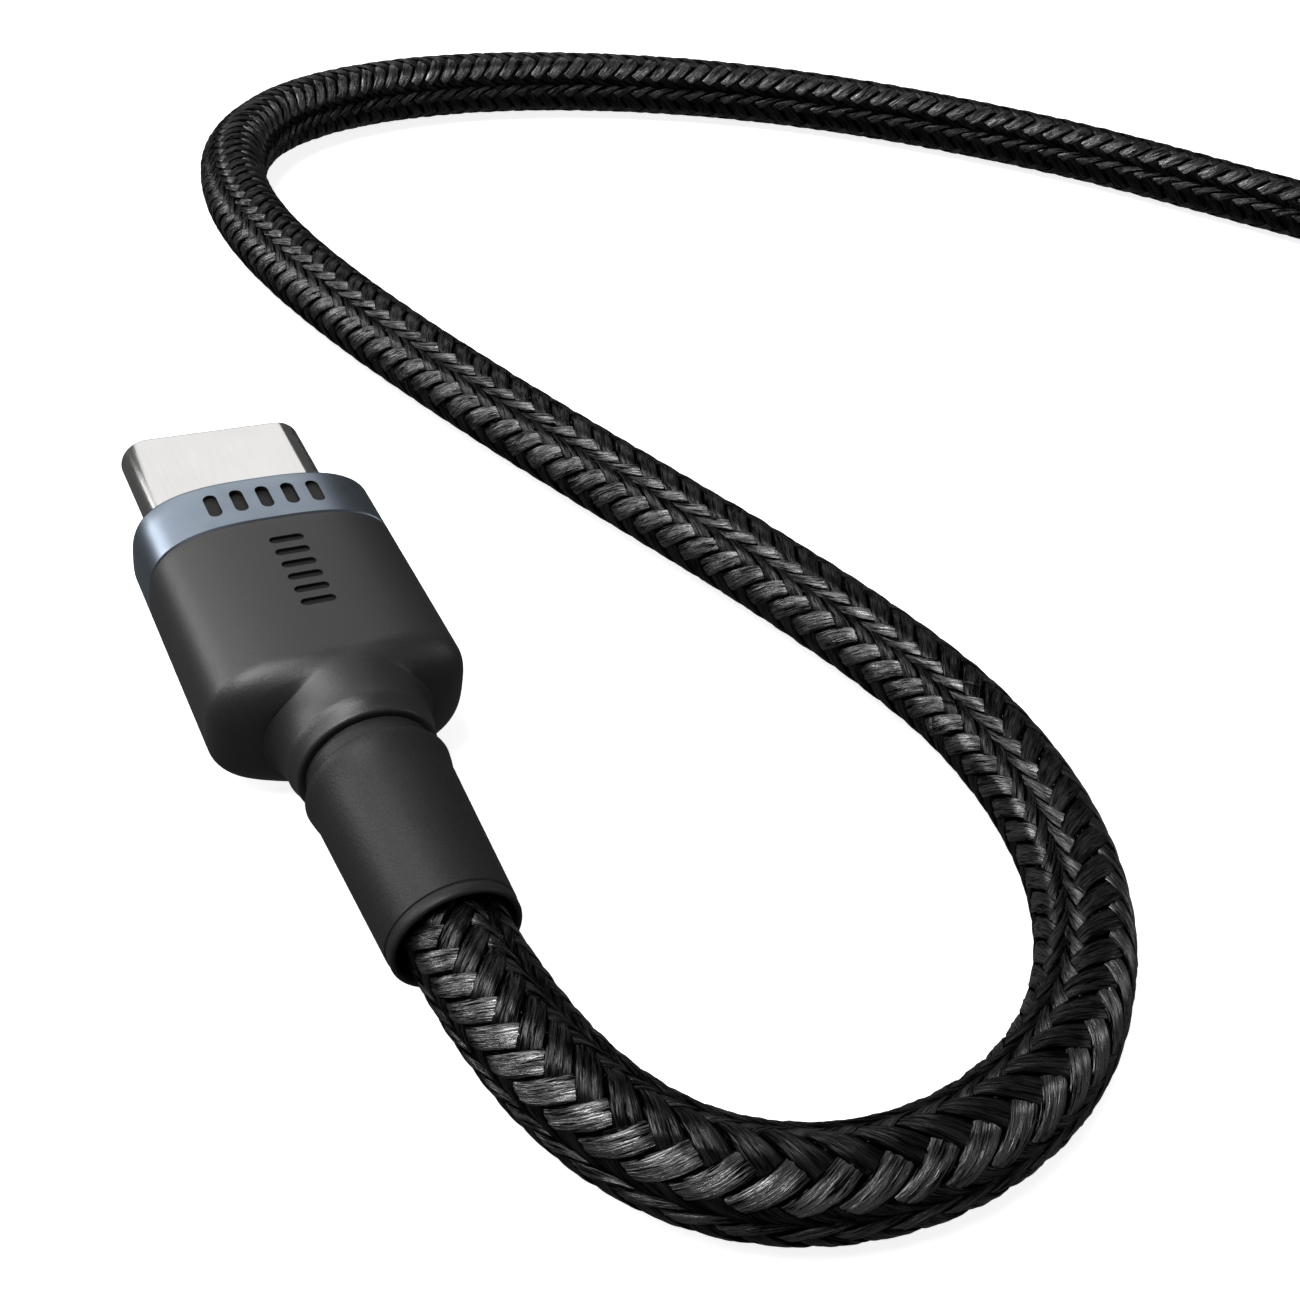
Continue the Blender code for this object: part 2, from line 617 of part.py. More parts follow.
def make_far_cord_and_plug(looks):
    """The last straight lead off the coil, and the plug that it ends in."""
    start = coil_point(COIL_EXIT_ANGLE, EXIT_R, CORD_R)
    turn = math.radians(COIL_EXIT_ANGLE)
    heading = (math.sin(turn), -math.cos(turn))
    length = FAR_LEAD - SLEEVE_REAR
    zero = (start[0] + heading[0] * length, start[1] + heading[1] * length)
    yaw = math.atan2(heading[1], heading[0]) - math.pi / 2
    place = Matrix.Translation((zero[0] * MM, zero[1] * MM, PLUG_HEIGHT * MM))
    make_plug("far", looks, place @ Matrix.Rotation(yaw, 4, "Z"))
    last = length + CABLE_END
    points = [(start[0] + heading[0] * t, start[1] + heading[1] * t, PLUG_HEIGHT)
              for t in np.linspace(0.0, last, 4)]
    add_tube("cord_far_end", points, CORD_R, CORD_SIDES, looks["braid"])


def make_looks():
    return {
        "steel": material("polished_steel", (0.72, 0.71, 0.69), 0.18, 1.0),
        "gold": material("contact_gold", (0.83, 0.62, 0.25), 0.25, 1.0),
        "blue anodised": material("blue_anodised", (0.16, 0.2, 0.26), 0.35, 1.0),
        "dark moulding": material("dark_moulding", (0.03, 0.03, 0.032), 0.55),
        "black plastic": material("black_plastic", (0.012, 0.012, 0.013), 0.45),
        "white plastic": material("white_plastic", (0.75, 0.74, 0.7), 0.5),
        "green board": material("green_board", (0.02, 0.16, 0.06), 0.4),
        "ceramic": material("ceramic", (0.42, 0.33, 0.22), 0.5),
        "red plastic": material("red_plastic", (0.6, 0.03, 0.02), 0.45),
        "blue plastic": material("blue_plastic", (0.03, 0.08, 0.5), 0.45),
        "green plastic": material("green_plastic", (0.03, 0.35, 0.08), 0.45),
        "braid": material("black_braid", (0.012, 0.012, 0.012), 0.5),
        "strap": material("black_strap", (0.02, 0.02, 0.02), 0.9),
    }


def main():
    for old in list(bpy.data.objects):
        bpy.data.objects.remove(old)
    looks = make_looks()
    make_plug("near", looks, Matrix.Translation((0.0, NEAR_V0 * MM, PLUG_HEIGHT * MM)))
    make_near_cord(looks)
    make_coil(looks)
    make_tie(looks)
    make_far_cord_and_plug(looks)


main()
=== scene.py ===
import json
import math

import bmesh
import bpy
import numpy as np
from mathutils import Matrix, Vector


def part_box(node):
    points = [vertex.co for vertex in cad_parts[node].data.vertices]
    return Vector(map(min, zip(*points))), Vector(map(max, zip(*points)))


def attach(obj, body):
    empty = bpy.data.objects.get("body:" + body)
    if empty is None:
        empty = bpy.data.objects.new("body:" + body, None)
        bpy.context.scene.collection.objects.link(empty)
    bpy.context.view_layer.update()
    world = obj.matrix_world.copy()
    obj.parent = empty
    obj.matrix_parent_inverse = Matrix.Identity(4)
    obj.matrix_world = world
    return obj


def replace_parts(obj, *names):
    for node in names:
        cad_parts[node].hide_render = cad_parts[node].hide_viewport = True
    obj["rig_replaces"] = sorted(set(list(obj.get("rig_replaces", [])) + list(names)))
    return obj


# The looks of the braided charging cable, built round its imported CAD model.
# Lengths are in millimetres in the constants and in metres in the scene. A plug has its own axes: u across,
# v along it towards the tip and w up, from the middle of its collar's front face.

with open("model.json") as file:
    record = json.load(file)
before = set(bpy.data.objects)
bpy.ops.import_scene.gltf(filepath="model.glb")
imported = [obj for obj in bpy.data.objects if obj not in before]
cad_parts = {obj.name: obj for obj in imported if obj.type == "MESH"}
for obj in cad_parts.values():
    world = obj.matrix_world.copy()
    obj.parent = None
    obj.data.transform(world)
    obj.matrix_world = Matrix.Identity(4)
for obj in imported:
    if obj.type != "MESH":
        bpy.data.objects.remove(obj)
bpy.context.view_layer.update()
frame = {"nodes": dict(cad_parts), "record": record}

MM = 0.001

# Camera: where it stands, and which way it looks
CAMERA_AT = (-17.696, -49.608, 49.757)
CAMERA_HEADING, CAMERA_DIP, CAMERA_ROLL = 34.09, 39.80, 11.378  # degrees: right of +Y, down, leaning
LENS, SENSOR = 47.08, 36.0

# Cord
CORD_D = 4.0
CORD_R = CORD_D / 2
PLUG_HEIGHT = 3.2
CABLE_END, SLEEVE_REAR = -12.1, -24.0
FAR_LEAD = -30.0  # the cord is straight from here into the far sleeve
ROUTE = [
    (0.3, -18.3, 3.1),
    (1.2, -21.6, 2.75),
    (3.9, -25.6, 2.3),
    (8.5, -28.0, 2.08),
    (13.4, -28.3, 2.03),
    (18.1, -26.9, 2.03),
    (22.1, -23.8, 2.03),
    (24.8, -19.5, 2.03),
    (26.0, -14.6, 2.03),
    (25.9, -9.7, 2.03),
    (24.6, -4.6, 2.03),
    (21.0, 4.4, 2.03),
    (16.9, 13.4, 2.03),
    (13.1, 22.6, 2.03),
    (10.0, 32.4, 2.03),
    (9.1, 41.2, 2.03),
    (10.6, 47.1, 2.03),
    (14.0, 51.3, 2.03),
    (19.9, 54.3, 2.03),
    (27.2, 55.6, 2.03),
    (37.4, 55.1, 2.03),
    (47.0, 52.8, 2.03),
    (56.1, 49.0, 2.03),
    (64.5, 44.0, 2.03),
    (72.5, 38.0, 2.03),
    (79.8, 31.1, 2.03),
    (88.0, 23.3, 2.03),
    (96.0, 15.3, 2.05),
    (103.6, 7.8, 2.08),
]

# Coil
TURN_RADII = (27.0, 23.0, 19.0, 21.0, 25.0)
LAYER_RISE = 3.5
SHIFT_SWEEP = 60.0  # the part of each turn where it moves over to the next turn's radius
ENTRY_ANGLE, EXIT_ANGLE, EXIT_R = 45.8, -24.0, 31.35
ROLL_END = 60.0  # how steeply, in degrees, the top layer's first turn sits on the turn beside it
OVER_HUMP, EXIT_HUMP = 0.55, 0.6  # how far the cord rises where it crosses the layer under it
TIE_T, TIE_GAP, TIE_ANGLE, TIE_WIDTH = 0.8, 0.1, 200.0, 8.6
TIE_BEGIN = 14.6  # along the coil's outline: the strap's first end is at the foot of the outer side
TIE_OVERLAP, TIE_STEP_UP = 12.0, 2.5
TIE_PILE = 0.02
COIL_INNER, COIL_OUTER = TURN_RADII[2] - CORD_R, TURN_RADII[0] + CORD_R
FLOOR_GAP = 0.03
COIL_LEAN = (TIE_T + TIE_GAP) / (COIL_INNER + COIL_OUTER)

# Braid: twelve tows each way round, over two and under two. Its columns bunch up at three shallow grooves.
TOWS = 12
CELL_TURN = 360 / (2 * TOWS)
BUNCH, BUNCH_CELLS, WIDEST_CELL = 12.1, 8, 1.5
GROOVE_CELL, GROOVE_DEPTH = 5.5, 0.12
CELL_RUN = 0.98
TOW_MIDDLE_R, TOW_SWING, TOW_CROWN, TOW_BELLY = 1.86, 0.05, 0.08, 0.05
TOW_WIDTH = 1.0
EDGE_SHADE, GROOVE_SHADE = 0.35, 0.12  # painted shade: how much darker a tow's colour is made at its edges, and down in a groove
CORE_R = 1.52
COIL_START = 262.0  # along the cord
# (distance along the cord, angle of a groove round it in degrees)
BRAID_TWIST = ((0, -20), (10, -20), (20, -33), (31, -45), (42, -43), (52, -36), (100, -34), (125, -44),
               (190, -47), (1100, -47))
# (distance along the cord, length of one float along it)
BRAID_PITCH = ((0, 1.0), (15, 1.05), (20, 1.3), (27, 1.7), (34, 1.7), (44, 1.42), (88, 1.38), (100, 1.1),
               (108, 0.94), (118, 0.85), (130, 1.02), (150, 1.3), (170, 1.45), (230, 1.45), (1100, 1.4))


def mount_of(name):
    return next(m for m in frame["record"]["mounts"] if m["name"] == name)


def plug_place(side):
    """The matrix that puts a plug, modelled in its own axes, where its stop face is."""
    stop = mount_of(side + "_stop_face")
    along = Vector(stop["axis"]).normalized()
    yaw = math.atan2(along.y, along.x) - math.pi / 2
    at = Vector((stop["pos_m"][0], stop["pos_m"][1], PLUG_HEIGHT * MM))
    return Matrix.Translation(at) @ Matrix.Rotation(yaw, 4, "Z")


def coil_centre():
    low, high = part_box("cord_coil")
    return ((low.x + high.x) / 2 / MM, (low.y + high.y) / 2 / MM)


COIL_CENTRE = coil_centre()


# ---------------------------------------------------------------- node helpers


def new_material(name):
    made = bpy.data.materials.new(name)
    made.use_nodes = True
    tree = made.node_tree
    return made, tree, tree.nodes["Principled BSDF"]


def node(tree, kind, links=(), **settings):
    """A node with its settings, and its inputs either linked to a socket or set to a value."""
    made = tree.nodes.new(kind)
    for key, value in settings.items():
        setattr(made, key, value)
    for name, value in dict(links).items():
        if isinstance(value, bpy.types.NodeSocket):
            tree.links.new(value, made.inputs[name])
        else:
            made.inputs[name].default_value = value
    return made


def object_place(tree):
    return node(tree, "ShaderNodeTexCoord").outputs["Object"]


def stretched(tree, vector, scale):
    return node(tree, "ShaderNodeMapping", {"Vector": vector, "Scale": scale}).outputs["Vector"]


def noise(tree, vector, scale, detail=3.0, rough=0.55, distortion=0.0):
    made = node(tree, "ShaderNodeTexNoise", {"Vector": vector, "Scale": scale, "Detail": detail,
                                             "Roughness": rough, "Distortion": distortion})
    return made.outputs["Fac"]


def in_range(tree, value, low, high, from_low=0.0, from_high=1.0):
    made = node(tree, "ShaderNodeMapRange", {"Value": value, "From Min": from_low, "From Max": from_high,
                                             "To Min": low, "To Max": high})
    return made.outputs["Result"]


def ramp(tree, value, stops):
    """A colour ramp of (place, colour) stops."""
    made = node(tree, "ShaderNodeValToRGB", {"Fac": value})
    elements = made.color_ramp.elements
    while len(elements) < len(stops):
        elements.new(0.5)
    for element, (place, colour) in zip(elements, stops):
        element.position = place
        element.color = (*colour, 1.0)
    return made.outputs["Color"]


def bump(tree, height, distance, strength=1.0, before=None):
    links = {"Height": height, "Distance": distance, "Strength": strength}
    if before is not None:
        links["Normal"] = before
    return node(tree, "ShaderNodeBump", links).outputs["Normal"]


def maths(tree, operation, first, second):
    made = node(tree, "ShaderNodeMath", operation=operation)
    for place, value in enumerate((first, second)):
        if isinstance(value, bpy.types.NodeSocket):
            tree.links.new(value, made.inputs[place])
        else:
            made.inputs[place].default_value = value
    return made.outputs[0]


# ---------------------------------------------------------------- materials


def steel_material():
    """Polished nickel plate with fine rubbing marks along the plug and a faint cloudiness."""
    made, tree, shader = new_material("polished_steel")
    place = object_place(tree)
    rubbed = noise(tree, stretched(tree, place, (9000, 500, 9000)), 1.0, 2.0)
    cloud = noise(tree, place, 300.0, 2.0)
    shader.inputs["Metallic"].default_value = 1.0
    tree.links.new(ramp(tree, cloud, ((0.3, (0.72, 0.71, 0.70)), (0.7, (0.76, 0.75, 0.74)))),
                   shader.inputs["Base Color"])
    tree.links.new(in_range(tree, rubbed, 0.13, 0.19, 0.3, 0.7), shader.inputs["Roughness"])
    tree.links.new(bump(tree, rubbed, 0.0000002), shader.inputs["Normal"])
    return made


def gold_material():
    """Gold plate over the contacts, a little worn to nickel where they rub."""
    made, tree, shader = new_material("contact_gold")
    place = object_place(tree)
    worn = noise(tree, place, 2600.0, 4.0)
    shader.inputs["Metallic"].default_value = 1.0
    tree.links.new(ramp(tree, worn, ((0.35, (0.62, 0.52, 0.34)), (0.55, (0.83, 0.62, 0.25)))),
                   shader.inputs["Base Color"])
    tree.links.new(in_range(tree, worn, 0.2, 0.34), shader.inputs["Roughness"])
    tree.links.new(bump(tree, worn, 0.000002), shader.inputs["Normal"])
    return made


def anodised_material():
    """Bead-blasted aluminium, dyed blue-grey: a fine even sparkle and slightly uneven dye."""
    made, tree, shader = new_material("blue_anodised")
    place = object_place(tree)
    grain = noise(tree, place, 16000.0, 2.0)
    dye = noise(tree, place, 700.0, 2.0)
    shader.inputs["Metallic"].default_value = 1.0
    tree.links.new(ramp(tree, dye, ((0.3, (0.30, 0.355, 0.43)), (0.7, (0.34, 0.395, 0.47)))),
                   shader.inputs["Base Color"])
    tree.links.new(in_range(tree, grain, 0.27, 0.4), shader.inputs["Roughness"])
    tree.links.new(bump(tree, grain, 0.0000022), shader.inputs["Normal"])
    return made


def moulding_material(name, shine):
    """Soft-touch dark plastic: a fine spark-eroded grain, and faint polish from handling."""
    made, tree, shader = new_material(name)
    place = object_place(tree)
    grain = noise(tree, place, 11000.0, 3.0, 0.6)
    broad = noise(tree, place, 420.0, 3.0)
    tree.links.new(ramp(tree, grain, ((0.3, (0.016, 0.016, 0.0175)), (0.7, (0.026, 0.026, 0.028)))),
                   shader.inputs["Base Color"])
    tree.links.new(in_range(tree, broad, 0.42, 0.5), shader.inputs["Roughness"])
    tree.links.new(bump(tree, grain, 0.000009), shader.inputs["Normal"])
    shader.inputs["Specular IOR Level"].default_value = shine
    return made


def plastic_material(name, colour, roughness):
    """Moulded plastic with a slight mottle and a fine skin."""
    made, tree, shader = new_material(name)
    place = object_place(tree)
    mottle = noise(tree, place, 1500.0, 3.0)
    dark, light = tuple(c * 0.86 for c in colour), tuple(min(1.0, c * 1.12) for c in colour)
    tree.links.new(ramp(tree, mottle, ((0.3, dark), (0.7, light))), shader.inputs["Base Color"])
    tree.links.new(in_range(tree, mottle, roughness - 0.05, roughness + 0.05), shader.inputs["Roughness"])
    tree.links.new(bump(tree, noise(tree, place, 9000.0), 0.000003), shader.inputs["Normal"])
    return made


def board_material():
    """Green solder mask over copper tracks that run along the card."""
    made, tree, shader = new_material("green_board")
    place = object_place(tree)
    tracks = node(tree, "ShaderNodeTexWave", {"Vector": place, "Scale": 480.0, "Distortion": 1.5,
                                              "Detail": 1.0}).outputs["Fac"]
    tree.links.new(ramp(tree, tracks, ((0.45, (0.012, 0.11, 0.045)), (0.55, (0.03, 0.2, 0.08)))),
                   shader.inputs["Base Color"])
    tree.links.new(in_range(tree, tracks, 0.3, 0.42), shader.inputs["Roughness"])
    tree.links.new(bump(tree, tracks, 0.00001), shader.inputs["Normal"])
    return made


def braid_material(name, index, painted_light_level):
    """Glossy black filaments that lie along each tow, so that they shine only across their own direction."""
    made, tree, shader = new_material(name)
    strand = node(tree, "ShaderNodeAttribute", attribute_name="strand").outputs["Vector"]
    lie = node(tree, "ShaderNodeAttribute", attribute_name="lie").outputs["Vector"]
    bundle = noise(tree, stretched(tree, strand, (4.0, 0.5, 1.0)), 1.0, 2.0, 0.5, 0.5)
    thread = noise(tree, stretched(tree, strand, (26.0, 1.2, 1.0)), 1.0, 2.0, 0.6, 0.8)
    both = maths(tree, "ADD", maths(tree, "MULTIPLY", bundle, 0.35), maths(tree, "MULTIPLY", thread, 0.65))
    # Painted shade: the shade attribute darkens the colour and dulls the gloss at the tows' edges and down
    # in the grooves
    shade = node(tree, "ShaderNodeAttribute", attribute_name="shade").outputs["Fac"]
    both = maths(tree, "MULTIPLY", both, shade)
    # Painted light and shade: the stops are scaled by the level given for each winding direction, so one
    # direction is a darker, shaded copy of the other
    stops = ((0.40, (0.001, 0.001, 0.001)), (0.50, (0.008 * painted_light_level, 0.008 * painted_light_level, 0.0085 * painted_light_level)),
             (0.62, (0.034 * painted_light_level, 0.034 * painted_light_level, 0.035 * painted_light_level)))
    tree.links.new(ramp(tree, both, stops), shader.inputs["Base Color"])
    tree.links.new(in_range(tree, both, 0.38, 0.17, 0.4, 0.6), shader.inputs["Roughness"])
    tree.links.new(in_range(tree, both, 0.0, 1.0, 0.42, 0.56), shader.inputs["Specular IOR Level"])
    shader.inputs["IOR"].default_value = index
    low = bump(tree, bundle, 0.00004, 1.0)
    tree.links.new(bump(tree, thread, 0.00003, 1.0, low), shader.inputs["Normal"])
    shader.inputs["Anisotropic"].default_value = 0.9
    shader.inputs["Anisotropic Rotation"].default_value = 0.25
    tree.links.new(lie, shader.inputs["Tangent"])
    return made


def core_material():
    """The dark jacket under the braid, which shows only in the gaps."""
    made, tree, shader = new_material("core_jacket")
    place = object_place(tree)
    tree.links.new(ramp(tree, noise(tree, place, 2000.0), ((0.3, (0.004, 0.004, 0.004)),
                                                           (0.7, (0.012, 0.012, 0.012)))),
                   shader.inputs["Base Color"])
    tree.links.new(in_range(tree, noise(tree, place, 5000.0), 0.5, 0.7), shader.inputs["Roughness"])
    return made


def strap_material():
    """Hook-and-loop tape: a napped pile of fine loops over a woven back."""
    made, tree, shader = new_material("black_strap")
    place = object_place(tree)
    pile = noise(tree, place, 7000.0, 4.0, 0.7)
    rows = node(tree, "ShaderNodeTexWave", {"Vector": place, "Scale": 900.0, "Distortion": 4.0,
                                            "Detail": 2.0}).outputs["Fac"]
    tree.links.new(ramp(tree, pile, ((0.35, (0.006, 0.006, 0.007)), (0.7, (0.045, 0.045, 0.047)))),
                   shader.inputs["Base Color"])
    tree.links.new(in_range(tree, pile, 0.75, 0.95), shader.inputs["Roughness"])
    low = bump(tree, rows, 0.00004, 0.6)
    tree.links.new(bump(tree, pile, 0.00008, 0.9, low), shader.inputs["Normal"])
    shader.inputs["Sheen Weight"].default_value = 0.25
    return made


def mark_material():
    """The dark bottom of an engraved mark."""
    made, tree, shader = new_material("engraved_mark")
    place = object_place(tree)
    grain = noise(tree, place, 12000.0)
    tree.links.new(ramp(tree, grain, ((0.3, (0.006, 0.006, 0.006)), (0.7, (0.016, 0.015, 0.014)))),
                   shader.inputs["Base Color"])
    tree.links.new(in_range(tree, grain, 0.5, 0.65), shader.inputs["Roughness"])
    return made


LOOKS = {
    "polished_steel": steel_material(),
    "contact_gold": gold_material(),
    "blue_anodised": anodised_material(),
    "dark_moulding": moulding_material("dark_moulding", 0.95),
    "black_plastic": plastic_material("black_plastic", (0.012, 0.012, 0.013), 0.42),
    "white_plastic": plastic_material("white_plastic", (0.7, 0.69, 0.65), 0.5),
    "green_board": board_material(),
    "ceramic_chip": plastic_material("ceramic_chip", (0.42, 0.33, 0.22), 0.5),
    "red_plastic": plastic_material("red_plastic", (0.6, 0.03, 0.02), 0.4),
    "blue_plastic": plastic_material("blue_plastic", (0.03, 0.08, 0.5), 0.4),
    "green_plastic": plastic_material("green_plastic", (0.03, 0.35, 0.08), 0.4),
    # Painted light and shade: the two winding directions are lit and shaded copies of one braid, one darker
    # and less glossy, as they seem to be in the photo's light
    "right_braid": braid_material("dull_black_braid", 1.38, 0.4),
    "left_braid": braid_material("black_braid", 2.1, 1.0),
    "strap": strap_material(),
}
CORE_LOOK = core_material()
SLEEVE_LOOK = moulding_material("dark_rubber", 0.38)
MARK_LOOK = mark_material()


# ---------------------------------------------------------------- mesh helpers


def new_mesh(name, corners, faces, finishes, sharp=None):
    """A mesh object whose corners are in millimetres."""
    mesh = bpy.data.meshes.new(name)
    mesh.from_pydata([tuple(c * MM for c in corner) for corner in corners], [], faces)
    surface = bmesh.new()
    surface.from_mesh(mesh)
    bmesh.ops.recalc_face_normals(surface, faces=surface.faces)
    surface.to_mesh(mesh)
    surface.free()
    mesh.shade_smooth()
    if sharp is not None:
        mesh.set_sharp_from_angle(angle=math.radians(sharp))
    for finish in finishes:
        mesh.materials.append(finish)
    made = bpy.data.objects.new(name, mesh)
    bpy.context.scene.collection.objects.link(made)
    return made


def loft_faces(rings, count):
    """Quads between rings of count points; the last ring joins the first, as on a pipe's wall."""
    faces = []
    for ring in range(rings):
        low, high = ring * count, ((ring + 1) % rings) * count
        for i in range(count):
            j = (i + 1) % count
            faces.append((low + i, low + j, high + j, high + i))
    return faces


def hollow_loft(name, stations, finishes, sharp=28):
    """A pipe-like solid through sections (v, points), out along its outside and back along its bore."""
    count = len(stations[0][1])
    corners = [(u, v, w) for v, section in stations for u, w in section]
    return new_mesh(name, corners, loft_faces(len(stations), count), finishes, sharp)


# ---------------------------------------------------------------- the cord's line


def smooth_curve(points, step):
    """Points a step apart on the natural cubic curve through points, with its ends kept."""
    points = np.array(points, float)
    spans = np.linalg.norm(np.diff(points, axis=0), axis=1)
    knots = np.concatenate([[0.0], np.cumsum(spans)])
    count = len(points)
    matrix = np.eye(count)
    right = np.zeros((count, 3))
    for i in range(1, count - 1):
        before, after = spans[i - 1], spans[i]
        matrix[i, i - 1:i + 2] = before, 2 * (before + after), after
        right[i] = 6 * ((points[i + 1] - points[i]) / after - (points[i] - points[i - 1]) / before)
    bends = np.linalg.solve(matrix, right)
    samples = np.linspace(0.0, knots[-1], 60 * count)
    span = np.clip(np.searchsorted(knots, samples, side="right") - 1, 0, count - 2)
    h = spans[span][:, None]
    a = (knots[span + 1] - samples)[:, None]
    b = (samples - knots[span])[:, None]
    fine = (bends[span] * a ** 3 + bends[span + 1] * b ** 3) / (6 * h)
    fine += (points[span] / h - bends[span] * h / 6) * a
    fine += (points[span + 1] / h - bends[span + 1] * h / 6) * b
    run = np.concatenate([[0.0], np.cumsum(np.linalg.norm(np.diff(fine, axis=0), axis=1))])
    wanted = np.linspace(0.0, run[-1], max(2, round(run[-1] / step) + 1))
    return np.column_stack([np.interp(wanted, run, fine[:, axis]) for axis in range(3)])


def coil_point(angle, radius, height):
    """A point this high over the coil's underside, which leans from the floor up onto its tie."""
    turn = math.radians(angle)
    towards_tie = radius * math.cos(turn - math.radians(TIE_ANGLE))
    underside = FLOOR_GAP + COIL_LEAN * (COIL_OUTER + towards_tie)
    return (COIL_CENTRE[0] + radius * math.cos(turn), COIL_CENTRE[1] + radius * math.sin(turn),
            underside + height)


def eased(share):
    return share * share * (3 - 2 * share)


def turn_place(turn, share):
    """Radius and height of turn number turn, where share is how far it has moved over to the next one."""
    s = eased(share)
    low, high = CORD_R, CORD_R + LAYER_RISE
    if turn < 2:
        return TURN_RADII[turn] + (TURN_RADII[turn + 1] - TURN_RADII[turn]) * s, low
    if turn == 2:  # it rolls up over the turn beside it
        roll = math.radians(180 - (180 - ROLL_END) * s)
        beside = turn_place(1, share)[0]
        reach = math.hypot(TURN_RADII[3] - TURN_RADII[2], LAYER_RISE)
        return beside + reach * math.cos(roll), low + reach * math.sin(roll)
    if turn == 3:
        return TURN_RADII[3] + (TURN_RADII[4] - TURN_RADII[3]) * s, high + OVER_HUMP * math.sin(math.pi * s)
    return TURN_RADII[4] + CORD_D * s, high + EXIT_HUMP * math.sin(math.pi * s)


def coil_points():
    """The coil's turns, clockwise from where the cord comes in, and the roll down off its outer side."""
    points = []
    step = 7.5
    per_turn = round(360 / step)
    for turn in range(len(TURN_RADII)):
        for i in range(per_turn):
            share = max(0.0, (i * step - (360 - SHIFT_SWEEP)) / SHIFT_SWEEP)
            radius, height = turn_place(turn, share)
            points.append(coil_point(ENTRY_ANGLE - i * step, radius, height))
    start = (CORD_D * math.cos(math.radians(ROLL_END)), LAYER_RISE)
    ahead = coil_point(EXIT_ANGLE, EXIT_R, 0.0)[2]
    end = (EXIT_R - TURN_RADII[0], PLUG_HEIGHT - ahead - CORD_R)
    rolls = [math.atan2(place[1], place[0]) for place in (start, end)]
    reaches = [math.hypot(*place) for place in (start, end)]
    steps = 9
    for i in range(steps + 1):
        s = eased(i / steps)
        roll = rolls[0] + (rolls[1] - rolls[0]) * s
        reach = reaches[0] + (reaches[1] - reaches[0]) * s
        angle = ENTRY_ANGLE + (EXIT_ANGLE - ENTRY_ANGLE) * i / steps
        points.append(coil_point(angle, TURN_RADII[0] + reach * math.cos(roll),
                                 CORD_R + reach * math.sin(roll)))
    return points


def cord_points():
    near, far = plug_place("near"), plug_place("far")
    near_inside = (CABLE_END, -18.0, -22.0, SLEEVE_REAR)
    far_inside = (FAR_LEAD, SLEEVE_REAR, -18.0, CABLE_END)
    start = [near @ Vector((0.0, v * MM, 0.0)) / MM for v in near_inside]
    finish = [far @ Vector((0.0, v * MM, 0.0)) / MM for v in far_inside]
    return [tuple(p) for p in start] + ROUTE + coil_points() + [tuple(p) for p in finish]


class Line:
    """The cord's centreline, with the directions across it, at any distance along it."""

    def __init__(self, points):
        self.points = smooth_curve(points, 0.2)
        spans = np.linalg.norm(np.diff(self.points, axis=0), axis=1)
        self.run = np.concatenate([[0.0], np.cumsum(spans)])
        self.length = float(self.run[-1])
        along = np.gradient(self.points, axis=0)
        self.along = along / np.linalg.norm(along, axis=1)[:, None]
        up = np.array([0.0, 0.0, 1.0]) - self.along * self.along[:, 2:3]
        self.up = up / np.linalg.norm(up, axis=1)[:, None]
        self.side = np.cross(self.along, self.up)

    def surface(self, distance, angle, radius):
        """Points this far along, at this angle round the line in degrees, and this far out from it."""
        def at(values):
            return np.stack([np.interp(distance, self.run, values[:, k]) for k in range(3)], axis=-1)
        turn = np.radians(angle)[..., None]
        out = np.cos(turn) * at(self.up) + np.sin(turn) * at(self.side)
        return at(self.points) + radius[..., None] * out


# ---------------------------------------------------------------- the braid


def rounded_swing(place):
    """From -1, under, to 1, over, as a tow crosses two tows on top and two below."""
    wave = np.sin(np.pi * (place + 0.5) / 2)
    return np.tanh(1.5 * wave) / math.tanh(1.5)


def braid_angle(cell, distance):
    """The angle round the cord, in degrees, of this many cells round it."""
    places, turns = zip(*BRAID_TWIST)
    bunched = BUNCH * np.sin(2 * np.pi * (cell - WIDEST_CELL) / BUNCH_CELLS)
    return np.interp(distance, places, turns) + CELL_TURN * (cell - GROOVE_CELL) + bunched


def groove_share(cell):
    """1 in the middle of a lengthwise groove of the braid, 0 away from it."""
    return ((1 + np.cos(2 * np.pi * (cell - GROOVE_CELL) / BUNCH_CELLS)) / 2) ** 3


def cell_width(cell):
    """How wide the cells are here, as a part of the widest."""
    swell = BUNCH * 2 * np.pi / BUNCH_CELLS
    return (CELL_TURN + swell * np.cos(2 * np.pi * (cell - WIDEST_CELL) / BUNCH_CELLS)) / (CELL_TURN + swell)


def cell_rows(length):
    """Distances along the cord, and how many rows of cells there are up to each."""
    places, pitches = zip(*BRAID_PITCH)
    distance = np.arange(0.0, length + 0.5, 0.25)
    rate = 2 / np.interp(distance, places, pitches)
    rows = np.concatenate([[0.0], np.cumsum((rate[1:] + rate[:-1]) / 2 * 0.25)])
    return distance, rows


